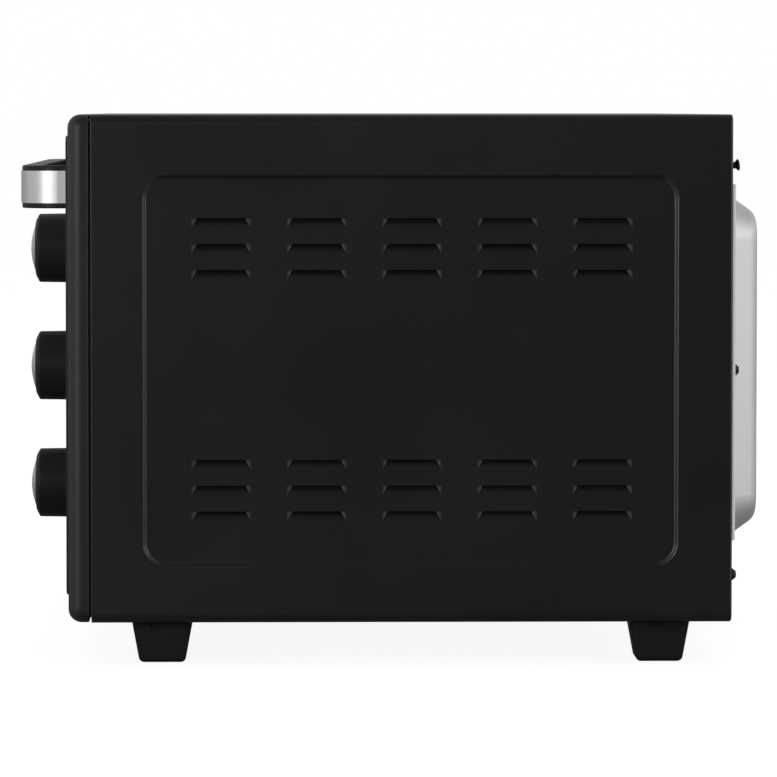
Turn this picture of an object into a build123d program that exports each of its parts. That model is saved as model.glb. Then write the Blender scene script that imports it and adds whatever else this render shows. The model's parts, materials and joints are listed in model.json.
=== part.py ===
from build123d import *
import os
from math import radians, tan

# Countertop toaster oven.
# Frame: X to the right seen from the front, -Y towards the user, +Z up, millimetres.
# Origin: on the ground, under the centre of the overall box.

os.makedirs("parts", exist_ok=True)

# ---------------------------------------------------------------- driving sizes
body_width = 530.0
body_height = 268.6
foot_height = 22.6
shell_depth = 338.6
sheet = 0.8
bend_radius = 5.0

bezel_depth = 11.1
bezel_gap = 1.2
bezel_round = 7.0
bezel_corner = 7.4
bezel_wall = 3.0
plate_proud = 1.2
spigot_reach = 6.0
spigot_wall = 3.0
groove_depth = 2.6
bezel_rear_round = 0.8
shell_front_round = 0.4
shell_rear_bend = 1.2
fit_clearance = 0.3
running_clearance = 0.05

stile_width = 10.0
top_rail = 9.7
bottom_rail = 4.4
control_bay_width = 132.0

door_gap = 1.5
door_thickness = 12.0
door_rise = 22.4
door_skin = 2.5
door_wall = 2.0
window_side_margin = 31.0
window_top_margin = 50.0
window_bottom_margin = 24.0
window_corner = 9.0
glass_thickness = 4.0
glass_lap = 8.0

hinge_setback = 7.0
hinge_rise = 4.5
hinge_pin_diameter = 5.0
hinge_pin_reach = 6.0
hinge_pin_chamfer = 0.5
bush_wall = 1.6

handle_reach = 31.2
handle_length = 360.0
handle_thickness = 11.0
handle_height = 23.9
handle_drop = 29.4
handle_bend = 21.0
band_height = 18.0
band_proud = 0.6
band_thickness = 1.6

knob_diameter = 37.3
knob_reach = 16.9
knob_dome = 4.0
knob_wall = 2.2
knob_edge = 1.3
insert_diameter = 25.0
knob_pitch = 63.5
knob_drop = 1.4
shaft_diameter = 6.0

emboss_length = 282.2
emboss_height = 206.2
emboss_corner = 12.0
emboss_depth = 1.6
emboss_slope = 43.0
emboss_bend = 1.2
press_drop = 0.9
press_forward = 0.7

louvre_width = 31.2
louvre_fall = 4.9
louvre_depth = 3.2
louvre_end_run = 3.0
louvre_columns = 5
louvre_column_pitch = 50.35
louvre_rows = 3
louvre_row_pitch = 13.65
louvre_group_offset = 63.8
louvre_rise = 2.2

rear_flange = 20.0
ear_bottom_margin = 43.4
ear_top_margin = 36.9
panel_margin = 10.0
ear_inset = 1.5
ear_step = 3.0
hem_width = 8.0
bulge_depth = 31.6
bulge_slope = 35.5
bulge_corner = 36.0
bulge_edge_round = 9.0
bulge_bottom_margin = 17.4
bulge_top_margin = 34.2

liner_gap_left = 18.0
liner_gap_right = 4.0
liner_top_gap = 24.0
liner_back_gap = 20.0
liner_bulge_depth = 34.0
liner_floor_rise = 5.4

rack_rise = 87.4
rack_rod = 4.0
rack_wire = 2.6
rack_wire_count = 13
rail_reach = 6.0
rail_height = 3.0
hook_wire = 3.0
hook_inset = 12.0
hook_lap = 2.0
hook_clearance = 5.0
hook_drop = 4.5
hook_bend = 3.0

tray_wall_height = 8.0
tray_lip_height = 13.0

heater_diameter = 7.0
heater_drop = 12.2
heater_rise = 37.4
heater_inset = 75.0

foot_length = 32.5
foot_width = 30.0
foot_taper = 10.5
foot_corner = 5.0
foot_bottom_round = 3.2
foot_flare = 1.2
foot_flare_slope = 30.0
foot_end_inset = 37.1
foot_side_inset = 27.0

door_corner = 6.0
door_edge_round = 2.5
hinge_boss = 12.0
bush_length = 6.5

rail_levels_gap = 42.0
rail_front_gap = 12.0
tray_rise = 7.4
tray_runner_inset = 30.0
tray_runner_width = 10.0
tray_side_gap = 1.5
tray_lip_thickness = 2.0
tray_lip_drop = 2.0
tray_grip = 1.0

heater_overhang = 5.0
heater_pin_length = 5.0
heater_pin_diameter = 3.0
insulator_diameter = 13.0
insulator_flange = 2.0
insulator_nose = 2.0
insulator_room = 1.0
shield_gap = 7.0

panel_corner = 6.0
panel_rise = 14.0
lamp_drop = 18.0
lamp_diameter = 6.0
lamp_round = 0.8
lamp_holder_wall = 2.0
shaft_hole_diameter = 12.0
bush_nose_diameter = 10.0
bush_nose_reach = 4.0

screw_diameter = 3.5
screw_head_diameter = 6.4
screw_head_height = 2.4
rear_screw_length = 8.0
rear_screw_inset = 25.7
rear_screw_stand = 1.7
rear_screw_rim = 0.5
rear_screw_dome = 0.7
top_screw_x = 150.0
top_screw_drop = 15.0
screw_edge = 8.0
handle_screw_diameter = 4.0
handle_screw_length = 14.0

bulge_side_gap = 18.0
liner_bulge_inset = 12.0
inlet_x_inset = 60.0
inlet_rise = 39.4
inlet_diameter = 16.0
inlet_lip = 2.5
inlet_reach = 4.0
cord_bore_diameter = 8.0
rear_slot_inset = 75.0
rear_slot_drop = 101.2
rear_slot_pitch = 9.0
rear_slot_height = 24.0
rear_slot_width = 3.0
rear_slot_count = 8
base_slot_pitch_x = 45.0
base_slot_pitch_y = 120.0
base_slot_length = 40.0
base_slot_width = 4.0
base_slot_columns = 6

foot_seat = 16.6
foot_screw_end = 3.0
foot_bore_diameter = 12.0
foot_notch_offset = 3.0
foot_notch_width = 6.4
foot_notch_height = 3.0
foot_notch_depth = 2.0

handle_core_round = 1.0
knob_shoulder = 1.6
knob_bow = 0.35
knob_draft = 0.2
knob_gap = 0.7
insert_thickness = 1.6
shaft_flat = 1.0
shaft_tail = 6.0
control_plate = 44.0
control_plate_thickness = 1.5
thermostat_width = 30.0
thermostat_height = 34.0
thermostat_depth = 14.0
switch_diameter = 38.0
switch_depth = 22.0
timer_width = 46.0
timer_depth = 30.0
bell_diameter = 40.0
bell_height = 13.0
bell_clearance = 4.0
bell_post_diameter = 5.0
bell_post_length = 19.0
bell_crown = 3.0
bell_shoulder_reach = 16.8
bell_shoulder_rise = 8.1
control_corner = 3.0
leaf_rise = 10.0
leaf_fall = 12.0
leaf_stand = 6.0
leaf_bend = 2.0
thermostat_blade_spread = 12.0
thermostat_blade_drop = 8.0
switch_blade_spread = 9.0
switch_edge_round = 2.0
timer_blade_spread = 18.0
timer_blade_drop = 14.0
blade_width = 6.3
blade_length = 9.0
lamp_holder_length = 18.0
rack_side_gap = 2.0
rack_end_gap = 5.0
rack_corner = 8.0
rack_stay_offset = 75.0
rack_weld = 0.6

# ---------------------------------------------------------------- places
half_width = body_width / 2
body_bottom = foot_height
roof = body_bottom + body_height
body_middle = (body_bottom + roof) / 2

overall_depth = (
    handle_reach + plate_proud + bezel_depth + bezel_gap + shell_depth + bulge_depth
)
handle_front = -overall_depth / 2
door_face = handle_front + handle_reach
bezel_front = door_face + plate_proud
bezel_back = bezel_front + bezel_depth
shell_front = bezel_back + bezel_gap
shell_back = shell_front + shell_depth
shell_middle = (shell_front + shell_back) / 2
frame_front = shell_front + spigot_reach
frame_back = frame_front + sheet

bay_left = -half_width + stile_width
bay_right = half_width - control_bay_width
bay_top = roof - top_rail
bay_bottom = body_bottom + bottom_rail

door_left = bay_left + door_gap
door_right = bay_right - door_gap
door_top = bay_top - door_gap
door_bottom = body_bottom + door_rise
handle_level = door_top - handle_drop
door_back = door_face + door_thickness
door_middle = (door_left + door_right) / 2
door_width = door_right - door_left
door_height = door_top - door_bottom

window_width = door_width - 2 * window_side_margin
window_low = door_bottom + window_bottom_margin
window_high = door_top - window_top_margin
window_height = window_high - window_low
window_middle = (window_low + window_high) / 2
glass_front = door_face + door_skin
glass_back = glass_front + glass_thickness

hinge_y = door_face + hinge_setback
hinge_z = door_bottom + hinge_rise

cavity_left = -half_width + liner_gap_left
cavity_right = bay_right - liner_gap_right
cavity_middle = (cavity_left + cavity_right) / 2
cavity_width = cavity_right - cavity_left
cavity_top = roof - liner_top_gap
cavity_back = shell_back - liner_back_gap
liner_floor_level = body_bottom + liner_floor_rise
rack_level = body_bottom + rack_rise
tray_bottom = body_bottom + tray_rise

panel_left = bay_right + door_gap
panel_right = half_width - bezel_corner - plate_proud
panel_middle = (panel_left + panel_right) / 2
panel_bottom = body_bottom + panel_rise
lamp_level = door_top - lamp_drop
knob_levels = [body_middle - knob_drop + n * knob_pitch for n in (1, 0, -1)]
knob_names = ["temperature", "function", "timer"]

base_underside = body_bottom + sheet
base_top = base_underside + sheet
recess_face = half_width - emboss_depth
emboss_run = emboss_depth * tan(radians(emboss_slope))
press_middle = body_middle - press_drop
emboss_y = shell_middle - press_forward

foot_ys = [shell_front + foot_end_inset, shell_back - foot_end_inset]
foot_xs = [-half_width + foot_side_inset, half_width - foot_side_inset]
screw_x = half_width - screw_edge
rear_screw_spread = body_height / 2 - rear_screw_inset
rear_screw_levels = [press_middle + n * rear_screw_spread for n in (1, 0, -1)]
panel_ear_low = body_bottom + ear_bottom_margin
panel_ear_high = roof - ear_top_margin
bulge_bottom = body_bottom + bulge_bottom_margin
bulge_top = roof - bulge_top_margin
inlet_x = half_width - inlet_x_inset
inlet_level = body_bottom + inlet_rise
rear_slot_x = half_width - rear_slot_inset
rear_slot_level = roof - rear_slot_drop

bush_diameter = hinge_pin_diameter + 2 * (running_clearance + bush_wall)
rail_levels = [rack_level, rack_level + rail_levels_gap]
heater_ys = [frame_back + heater_inset, cavity_back - heater_inset]
heater_upper_level = cavity_top - heater_drop
heater_lower_level = body_bottom + heater_rise
heater_places = [(y, z) for y in heater_ys for z in (heater_upper_level, heater_lower_level)]
shield_x = cavity_right + shield_gap
handle_post_inset = (handle_thickness + band_thickness) / 2
handle_post_xs = [
    door_middle + s * (handle_length / 2 - handle_post_inset) for s in (-1, 1)
]


def front_plane(y):
    """Plane facing the user at depth y: its own x is X and its own y is Z."""
    return Plane.XZ.offset(-y)


def side_plane(x):
    """Plane facing +X: its own x is Y and its own y is Z."""
    return Plane.YZ.offset(x)


def block(x_span, y_span, z_span, mode=Mode.ADD):
    """Straight-sided block between three pairs of limits."""
    spans = (x_span, y_span, z_span)
    with Locations(tuple((low + high) / 2 for low, high in spans)):
        Box(*(high - low for low, high in spans), mode=mode)


def round_y(x, z, diameter, y_span, mode=Mode.ADD):
    """Round bar or bore along Y between two depths."""
    front, back = y_span
    with Locations((x, (front + back) / 2, z)):
        Cylinder(diameter / 2, back - front, rotation=(90, 0, 0), mode=mode)


def round_x(y, z, diameter, x_span, mode=Mode.ADD):
    """Round bar or bore along X between two sides."""
    left, right = x_span
    with Locations(((left + right) / 2, y, z)):
        Cylinder(diameter / 2, right - left, rotation=(0, 90, 0), mode=mode)


# ---------------------------------------------------------------- outer shell
# One wrapped sheet: roof, two pressed and louvred sides, turned-in bottom and rear flanges.

# A louvre is lanced along its top edge and pushed inwards: a flat scoop leans in from the
# panel to the slit, between sloping ends.


def scoop_ends(width, depth, fall):
    """Cut a scoop's two ends so that each slopes in by louvre_end_run over its depth."""
    with BuildSketch(Plane.XY.offset(-fall)) as ends:
        with BuildLine():
            Polyline(
                (0, -width / 2),
                (0, width / 2),
                (-depth, width / 2 - louvre_end_run),
                (-depth, -width / 2 + louvre_end_run),
                close=True,
            )
        make_face()
    extrude(ends.sketch, amount=fall, mode=Mode.INTERSECT)


with BuildPart() as louvre_pocket:
    with BuildSketch(Plane.XZ.offset(-louvre_width / 2)):
        with BuildLine():
            Polyline((0, 0), (-louvre_depth, 0), (0, -louvre_fall), close=True)
        make_face()
    extrude(amount=louvre_width)
    scoop_ends(louvre_width, louvre_depth, louvre_fall)

with BuildPart() as louvre_skin:
    skin_depth = louvre_depth + sheet
    skin_width = louvre_width + 2 * sheet
    skin_fall = louvre_fall * skin_depth / louvre_depth
    with BuildSketch(Plane.XZ.offset(-skin_width / 2)):
        with BuildLine():
            Polyline(
                (-sheet / 2, 0),
                (-skin_depth, 0),
                (-sheet / 2, -skin_fall + sheet / 2),
                close=True,
            )
        make_face()
    extrude(amount=skin_width)
    scoop_ends(skin_width, skin_depth, skin_fall)

louvre_places = [
    (
        recess_face,
        shell_middle + (column - (louvre_columns - 1) / 2) * louvre_column_pitch,
        body_middle + group * louvre_group_offset + (1 - row) * louvre_row_pitch + louvre_rise,
    )
    for group in (1, -1)
    for row in range(louvre_rows)
    for column in range(louvre_columns)
]


def on_outside(edge):
    """True for an edge that lies on the body's outline."""
    place = edge.center()
    return (
        abs(place.X) > half_width - sheet / 2
        or abs(place.Z - body_middle) > body_height / 2 - sheet / 2
        or edge.geom_type == GeomType.CIRCLE
        and edge.radius > bend_radius - sheet / 2
    )


with BuildPart() as outer_shell:
    with BuildSketch(front_plane(shell_front)):
        with Locations((0, body_middle)):
            RectangleRounded(body_width, body_height, bend_radius)
            RectangleRounded(
                body_width - 2 * sheet,
                body_height - 2 * sheet,
                bend_radius - sheet,
                mode=Mode.SUBTRACT,
            )
        with Locations((0, body_bottom)):
            Rectangle(body_width - 2 * rear_flange, 4 * sheet, mode=Mode.SUBTRACT)
    extrude(amount=-shell_depth)
    fillet(
        outer_shell.faces().sort_by(Axis.Y)[0].edges().filter_by(on_outside),
        shell_front_round,
    )
    # Turned-in rear flange that the rear panel is screwed to.
    with BuildSketch(front_plane(shell_back - sheet)):
        with Locations((0, body_middle)):
            RectangleRounded(body_width - sheet, body_height - sheet, bend_radius - sheet / 2)
            Rectangle(
                body_width - 2 * rear_flange,
                body_height - 2 * rear_flange,
                mode=Mode.SUBTRACT,
            )
        with Locations((0, body_bottom)):
            Rectangle(body_width - 2 * rear_flange, 2 * rear_flange + sheet, mode=Mode.SUBTRACT)
    extrude(amount=-sheet)
    fillet(
        outer_shell.faces().sort_by(Axis.Y)[-1].edges().filter_by(on_outside),
        shell_rear_bend,
    )
    # Pressed panel on both sides, its two bends rounded.
    for side in (1, -1):
        with BuildSketch(side_plane(side * (half_width - sheet / 2))):
            with Locations((emboss_y, press_middle)):
                RectangleRounded(
                    emboss_length + sheet, emboss_height + sheet, emboss_corner + sheet / 2
                )
        extrude(amount=-side * (emboss_depth + sheet / 2), taper=emboss_slope)
        with BuildSketch(side_plane(side * half_width)):
            with Locations((emboss_y, press_middle)):
                RectangleRounded(emboss_length, emboss_height, emboss_corner)
        extrude(amount=-side * emboss_depth, taper=emboss_slope, mode=Mode.SUBTRACT)
        for depth, length, height in (
            (0, emboss_length, emboss_height),
            (emboss_depth, emboss_length - 2 * emboss_run, emboss_height - 2 * emboss_run),
        ):
            fillet(
                outer_shell.edges().filter_by(
                    lambda edge: abs(edge.center().X - side * (half_width - depth)) < fit_clearance
                    and abs(edge.center().Y - emboss_y) < length / 2 + fit_clearance
                    and abs(edge.center().Z - press_middle) < height / 2 + fit_clearance
                ),
                emboss_bend,
            )

    # Louvres on both sides.
    for side in (1, -1):
        for x, y, z in louvre_places:
            turn = 0 if side == 1 else 180
            with Locations(Location((side * x, y, z), (0, 0, turn))):
                add(louvre_skin.part)
                add(louvre_pocket.part, mode=Mode.SUBTRACT)
    # Pilot holes of the rear screws.
    with BuildSketch(front_plane(shell_back)):
        with Locations(*[(s * screw_x, z) for s in (1, -1) for z in rear_screw_levels]):
            Circle(screw_diameter / 2)
        with Locations(*[(s * top_screw_x, roof - top_screw_drop) for s in (1, -1)]):
            Circle(screw_diameter / 2)
    extrude(amount=2 * sheet, both=True, mode=Mode.SUBTRACT)
outer_shell.part.label = "outer_shell"
export_step(outer_shell.part, "parts/outer_shell.step")

# ---------------------------------------------------------------- front bezel
# Moulded front frame: door and tray bay on the left, hollow control bay on the right.
with BuildPart() as front_bezel:
    with BuildSketch(front_plane(bezel_front)):
        with Locations((0, body_middle)):
            RectangleRounded(body_width, body_height, bezel_corner)
    extrude(amount=-bezel_depth)
    fillet(front_bezel.faces().sort_by(Axis.Y)[0].edges(), bezel_round)
    fillet(front_bezel.faces().sort_by(Axis.Y)[-1].edges(), bezel_rear_round)
    # Shadow groove, then the spigot that the shell slides over.
    spigot_inset = sheet + fit_clearance
    with BuildSketch(front_plane(bezel_back)):
        with Locations((0, body_middle)):
            RectangleRounded(
                body_width - 2 * groove_depth, body_height - 2 * groove_depth, bend_radius
            )
    extrude(amount=-bezel_gap)
    with BuildSketch(front_plane(shell_front)):
        with Locations((0, body_middle)):
            RectangleRounded(
                body_width - 2 * spigot_inset, body_height - 2 * spigot_inset, bend_radius
            )
    extrude(amount=-spigot_reach)
    with BuildSketch(front_plane(bezel_back)):
        with Locations((0, body_middle)):
            RectangleRounded(
                body_width - 2 * (spigot_inset + spigot_wall),
                body_height - 2 * (spigot_inset + spigot_wall),
                bend_radius - spigot_wall,
            )
    extrude(amount=-(bezel_gap + spigot_reach), mode=Mode.SUBTRACT)
    # Door and tray bay.
    block(
        (bay_left, bay_right),
        (bezel_front - 1, frame_front + 1),
        (bay_bottom, bay_top),
        mode=Mode.SUBTRACT,
    )
    # Hollow behind the control panel.
    block(
        (bay_right + bezel_wall, half_width - bezel_corner),
        (bezel_front + bezel_wall, frame_front + 1),
        (bay_bottom + bezel_wall, bay_top),
        mode=Mode.SUBTRACT,
    )
    # Shaft holes of the controls, and the lamp hole.
    with BuildSketch(front_plane(bezel_front)):
        with Locations(*[(panel_middle, z) for z in knob_levels]):
            Circle(shaft_hole_diameter / 2)
        with Locations((panel_middle, lamp_level)):
            Circle(lamp_diameter / 2 + fit_clearance)
    extrude(amount=-bezel_depth, mode=Mode.SUBTRACT)
    # Seats of the two hinge bushes.
    with BuildSketch(side_plane(bay_left)):
        with Locations((hinge_y, hinge_z)):
            Circle(bush_diameter / 2)
    extrude(amount=-bush_length, mode=Mode.SUBTRACT)
    with BuildSketch(side_plane(bay_right)):
        with Locations((hinge_y, hinge_z)):
            Circle(bush_diameter / 2)
    extrude(amount=bezel_wall, mode=Mode.SUBTRACT)
front_bezel.part.label = "front_bezel"
export_step(front_bezel.part, "parts/front_bezel.step")

# ---------------------------------------------------------------- hinge bushes
for side, face, length in (("left", bay_left, -bush_length), ("right", bay_right, bezel_wall)):
    with BuildPart() as hinge_bush:
        with BuildSketch(side_plane(face)):
            with Locations((hinge_y, hinge_z)):
                Circle(bush_diameter / 2)
                Circle(hinge_pin_diameter / 2 + running_clearance, mode=Mode.SUBTRACT)
        extrude(amount=length)
    hinge_bush.part.label = f"hinge_bush_{side}"
    export_step(hinge_bush.part, f"parts/hinge_bush_{side}.step")

# ---------------------------------------------------------------- control panel
with BuildPart() as control_panel:
    with BuildSketch(front_plane(bezel_front)):
        with Locations((panel_middle, (panel_bottom + door_top) / 2)):
            RectangleRounded(panel_right - panel_left, door_top - panel_bottom, panel_corner)
        with Locations(*[(panel_middle, z) for z in knob_levels]):
            Circle(shaft_hole_diameter / 2, mode=Mode.SUBTRACT)
        with Locations((panel_middle, lamp_level)):
            Circle(lamp_diameter / 2 + fit_clearance, mode=Mode.SUBTRACT)
    extrude(amount=plate_proud)
    chamfer(control_panel.faces().sort_by(Axis.Y)[0].outer_wire().edges(), plate_proud / 2)
control_panel.part.label = "control_panel"
export_step(control_panel.part, "parts/control_panel.step")

# ---------------------------------------------------------------- front frame
# Steel frame behind the bezel: it carries the cavity, the controls and the shields.
with BuildPart() as front_frame:
    with BuildSketch(front_plane(frame_front)):
        with Locations((0, body_middle)):
            RectangleRounded(
                body_width - 2 * spigot_inset, body_height - 2 * spigot_inset, bend_radius - sheet
            )
        with Locations((cavity_middle, (liner_floor_level + cavity_top) / 2)):
            Rectangle(cavity_width, cavity_top - liner_floor_level, mode=Mode.SUBTRACT)
        with Locations(*[(panel_middle, z) for z in knob_levels]):
            Circle(bush_nose_diameter / 2, mode=Mode.SUBTRACT)
        with Locations((panel_middle, lamp_level)):
            Circle(lamp_diameter / 2 + fit_clearance, mode=Mode.SUBTRACT)
    extrude(amount=-sheet)
front_frame.part.label = "front_frame"
export_step(front_frame.part, "parts/front_frame.step")

# ---------------------------------------------------------------- base pan
# Floor of the housing, with upturned ends and rows of cooling slots.
with BuildPart() as base_pan:
    block(
        (-half_width + bend_radius, half_width - bend_radius),
        (frame_back, shell_back - sheet),
        (base_underside, base_top),
    )
    block(
        (-half_width + rear_flange + fit_clearance, half_width - rear_flange - fit_clearance),
        (shell_back - sheet, shell_back),
        (base_underside, base_underside + rear_flange),
    )
    with BuildSketch(Plane.XY.offset(base_underside)):
        with Locations((cavity_middle, shell_middle)):
            with GridLocations(base_slot_pitch_x, base_slot_pitch_y, base_slot_columns, 2):
                SlotOverall(base_slot_length, base_slot_width, rotation=90)
        with Locations(*[(x, y) for x in foot_xs for y in foot_ys]):
            Circle(screw_diameter / 2)
    extrude(amount=2 * sheet, both=True, mode=Mode.SUBTRACT)
    # Runners of the crumb tray.
    for x in (cavity_left + tray_runner_inset, cavity_right - tray_runner_inset):
        block(
            (x - tray_runner_width / 2, x + tray_runner_width / 2),
            (frame_back, cavity_back),
            (base_top, tray_bottom - fit_clearance),
        )
base_pan.part.label = "base_pan"
export_step(base_pan.part, "parts/base_pan.step")

# ---------------------------------------------------------------- feet
# Tapered plastic feet, each hollow from below around its screw.
for y, end in zip(foot_ys, ("front", "rear")):
    for x, side in zip(foot_xs, ("left", "right")):
        outward = 1 if side == "right" else -1
        with BuildPart() as foot:
            with BuildSketch(Plane.XY.offset(body_bottom)):
                with Locations((x, y)):
                    RectangleRounded(foot_width, foot_length, foot_corner)
            extrude(amount=-foot_height, taper=foot_taper)
            fillet(foot.faces().sort_by(Axis.Z)[0].edges(), foot_bottom_round)
            with BuildSketch(Plane.XY.offset(body_bottom)):
                with Locations((x, y)):
                    RectangleRounded(
                        foot_width + foot_flare, foot_length + foot_flare, foot_corner + foot_flare / 2
                    )
            extrude(amount=-foot_flare, taper=foot_flare_slope)
            with Locations(Location((x, y, 0), (180, 0, 0))):
                CounterBoreHole(
                    screw_diameter / 2, foot_bore_diameter / 2, foot_seat, depth=foot_height
                )
            # Notch for the assembly clip under the outer edge.
            with Locations((x + outward * foot_width / 2, y - foot_notch_offset, body_bottom)):
                Box(2 * foot_notch_depth, foot_notch_width, 2 * foot_notch_height, mode=Mode.SUBTRACT)
        foot.part.label = f"foot_{end}_{side}"
        export_step(foot.part, f"parts/foot_{end}_{side}.step")

with BuildPart() as foot_screws:
    for x in foot_xs:
        for y in foot_ys:
            with Locations((x, y, foot_seat)):
                Cylinder(
                    screw_head_diameter / 2,
                    screw_head_height,
                    align=(Align.CENTER, Align.CENTER, Align.MAX),
                )
                Cylinder(
                    screw_diameter / 2,
                    base_top + foot_screw_end - foot_seat,
                    align=(Align.CENTER, Align.CENTER, Align.MIN),
                )
foot_screws.part.label = "foot_screws"
export_step(foot_screws.part, "parts/foot_screws.step")

# ---------------------------------------------------------------- rear panel
# Bright sheet over the shell's rear flange: notched corners, hemmed ears and a drawn bulge.
panel_half = half_width - ear_inset
panel_low = body_bottom + panel_margin
panel_high = roof - panel_margin
bulge_left = cavity_left + bulge_side_gap
bulge_right = cavity_right - bulge_side_gap
bulge_middle = (bulge_left + bulge_right) / 2
bulge_centre = (bulge_bottom + bulge_top) / 2
bulge_width = bulge_right - bulge_left
bulge_height = bulge_top - bulge_bottom


def drawn_bulge(start, depth, inset, edge_round):
    """Drawn bulge standing out from the plane y = start, its outline drawn in by inset."""
    with BuildPart() as bulge:
        with BuildSketch(front_plane(start)):
            with Locations((bulge_middle, bulge_centre)):
                RectangleRounded(
                    bulge_width - 2 * inset, bulge_height - 2 * inset, bulge_corner - inset / 2
                )
        extrude(amount=-depth, taper=bulge_slope)
        fillet(bulge.faces().sort_by(Axis.Y)[-1].edges(), edge_round)
    return bulge.part


with BuildPart() as rear_panel:
    add(drawn_bulge(shell_back, bulge_depth, 0, bulge_edge_round))
    with BuildSketch(front_plane(shell_back)):
        with Locations((0, (panel_low + panel_high) / 2)):
            Rectangle(2 * (half_width - rear_flange + ear_step), panel_high - panel_low)
        with Locations((0, (panel_ear_low + panel_ear_high) / 2)):
            Rectangle(2 * panel_half, panel_ear_high - panel_ear_low)
    extrude(amount=-sheet)
    # Hemmed edges of the ears.
    for side in (1, -1):
        edge = side * (panel_half - hem_width / 2)
        block(
            (edge - hem_width / 2, edge + hem_width / 2),
            (shell_back + sheet, shell_back + 2 * sheet),
            (panel_ear_low, panel_ear_high),
        )
    add(
        drawn_bulge(shell_back, bulge_depth - sheet, sheet, bulge_edge_round - sheet),
        mode=Mode.SUBTRACT,
    )
    # Screw holes, cooling slots behind the controls, and the cord inlet.
    with BuildSketch(front_plane(shell_back)):
        with Locations((screw_x, press_middle), (-screw_x, press_middle)):
            Circle(screw_diameter / 2)
        with Locations(*[(s * top_screw_x, roof - top_screw_drop) for s in (1, -1)]):
            Circle(screw_diameter / 2)
        with Locations((inlet_x, inlet_level)):
            Circle(inlet_diameter / 2)
        with Locations((rear_slot_x, rear_slot_level)):
            with GridLocations(rear_slot_pitch, rear_slot_height + rear_slot_pitch, rear_slot_count, 2):
                SlotOverall(rear_slot_height, rear_slot_width, rotation=90)
    extrude(amount=3 * sheet, both=True, mode=Mode.SUBTRACT)
rear_panel.part.label = "rear_panel"
export_step(rear_panel.part, "parts/rear_panel.step")

# Screws with coned heads. Those through the ears clamp both sheets and the rest stand proud of
# the shell's flange by a bare neck.
rear_screw_seats = [
    (s * screw_x, z, shell_back + (2 * sheet if z == press_middle else rear_screw_stand))
    for s in (1, -1)
    for z in rear_screw_levels
]
rear_screw_seats += [(s * top_screw_x, roof - top_screw_drop, shell_back + sheet) for s in (1, -1)]
neck_radius = screw_diameter / 2
rim_radius = screw_head_diameter / 2
with BuildPart() as rear_screws:
    for x, z, seat in rear_screw_seats:
        with BuildSketch(Plane(origin=(x, seat, z), x_dir=(1, 0, 0), z_dir=(0, 0, 1))):
            with BuildLine():
                Polyline(
                    (0, screw_head_height),
                    (0, -rear_screw_length),
                    (neck_radius, -rear_screw_length),
                    (neck_radius, 0),
                    (rim_radius, screw_head_height - rear_screw_dome - rear_screw_rim),
                    (rim_radius, screw_head_height - rear_screw_dome),
                )
                TangentArc(
                    (0, screw_head_height),
                    (rim_radius, screw_head_height - rear_screw_dome),
                    tangent=(1, 0),
                )
            make_face()
        revolve(axis=Axis((x, seat, z), (0, 1, 0)))
rear_screws.part.label = "rear_screws"
export_step(rear_screws.part, "parts/rear_screws.step")

# Low gland that closes the cord's hole in the rear panel.
with BuildPart() as cord_inlet:
    with BuildSketch(front_plane(shell_back + sheet)):
        with Locations((inlet_x, inlet_level)):
            Circle(inlet_diameter / 2 + inlet_lip)
            Circle(cord_bore_diameter / 2, mode=Mode.SUBTRACT)
    extrude(amount=-inlet_lip)
    with BuildSketch(front_plane(shell_back + sheet)):
        with Locations((inlet_x, inlet_level)):
            Circle(inlet_diameter / 2)
            Circle(cord_bore_diameter / 2, mode=Mode.SUBTRACT)
    extrude(amount=sheet + inlet_reach)
    fillet(
        cord_inlet.faces().sort_by(Axis.Y)[-1].outer_wire().edges(),
        inlet_lip / 2,
    )
cord_inlet.part.label = "cord_inlet"
export_step(cord_inlet.part, "parts/cord_inlet.step")

# ---------------------------------------------------------------- cavity liner
for side, inner_x, outward in (("left", cavity_left, -1), ("right", cavity_right, 1)):
    with BuildPart() as cavity_side:
        block(
            tuple(sorted((inner_x, inner_x + outward * sheet))),
            (frame_back, cavity_back),
            (base_top, cavity_top),
        )
        # Pressed rails at two rack heights.
        with BuildSketch(Plane.XZ.offset(-(frame_back + rail_front_gap))):
            for level in rail_levels:
                with BuildLine():
                    Polyline(
                        (inner_x, level),
                        (inner_x - outward * rail_reach, level),
                        (inner_x - outward * rail_reach, level - sheet),
                        (inner_x, level - rail_height),
                        close=True,
                    )
                make_face()
        extrude(amount=-(cavity_back - frame_back - 2 * rail_front_gap))
        # Holes for the heater insulators.
        with BuildSketch(side_plane(inner_x)):
            with Locations(*heater_places):
                Circle(insulator_diameter / 2)
        extrude(amount=2 * sheet, both=True, mode=Mode.SUBTRACT)
    cavity_side.part.label = f"cavity_{side}"
    export_step(cavity_side.part, f"parts/cavity_{side}.step")

with BuildPart() as cavity_roof:
    block(
        (cavity_left - sheet, cavity_right + sheet),
        (frame_back, cavity_back),
        (cavity_top, cavity_top + sheet),
    )
cavity_roof.part.label = "cavity_roof"
export_step(cavity_roof.part, "parts/cavity_roof.step")

with BuildPart() as cavity_rear:
    add(drawn_bulge(cavity_back, liner_bulge_depth, liner_bulge_inset, bulge_edge_round))
    block(
        (cavity_left - sheet, cavity_right + sheet),
        (cavity_back, cavity_back + sheet),
        (base_top, cavity_top + sheet),
    )
    add(
        drawn_bulge(
            cavity_back, liner_bulge_depth - sheet, liner_bulge_inset + sheet, bulge_edge_round - sheet
        ),
        mode=Mode.SUBTRACT,
    )
cavity_rear.part.label = "cavity_rear"
export_step(cavity_rear.part, "parts/cavity_rear.step")

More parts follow.
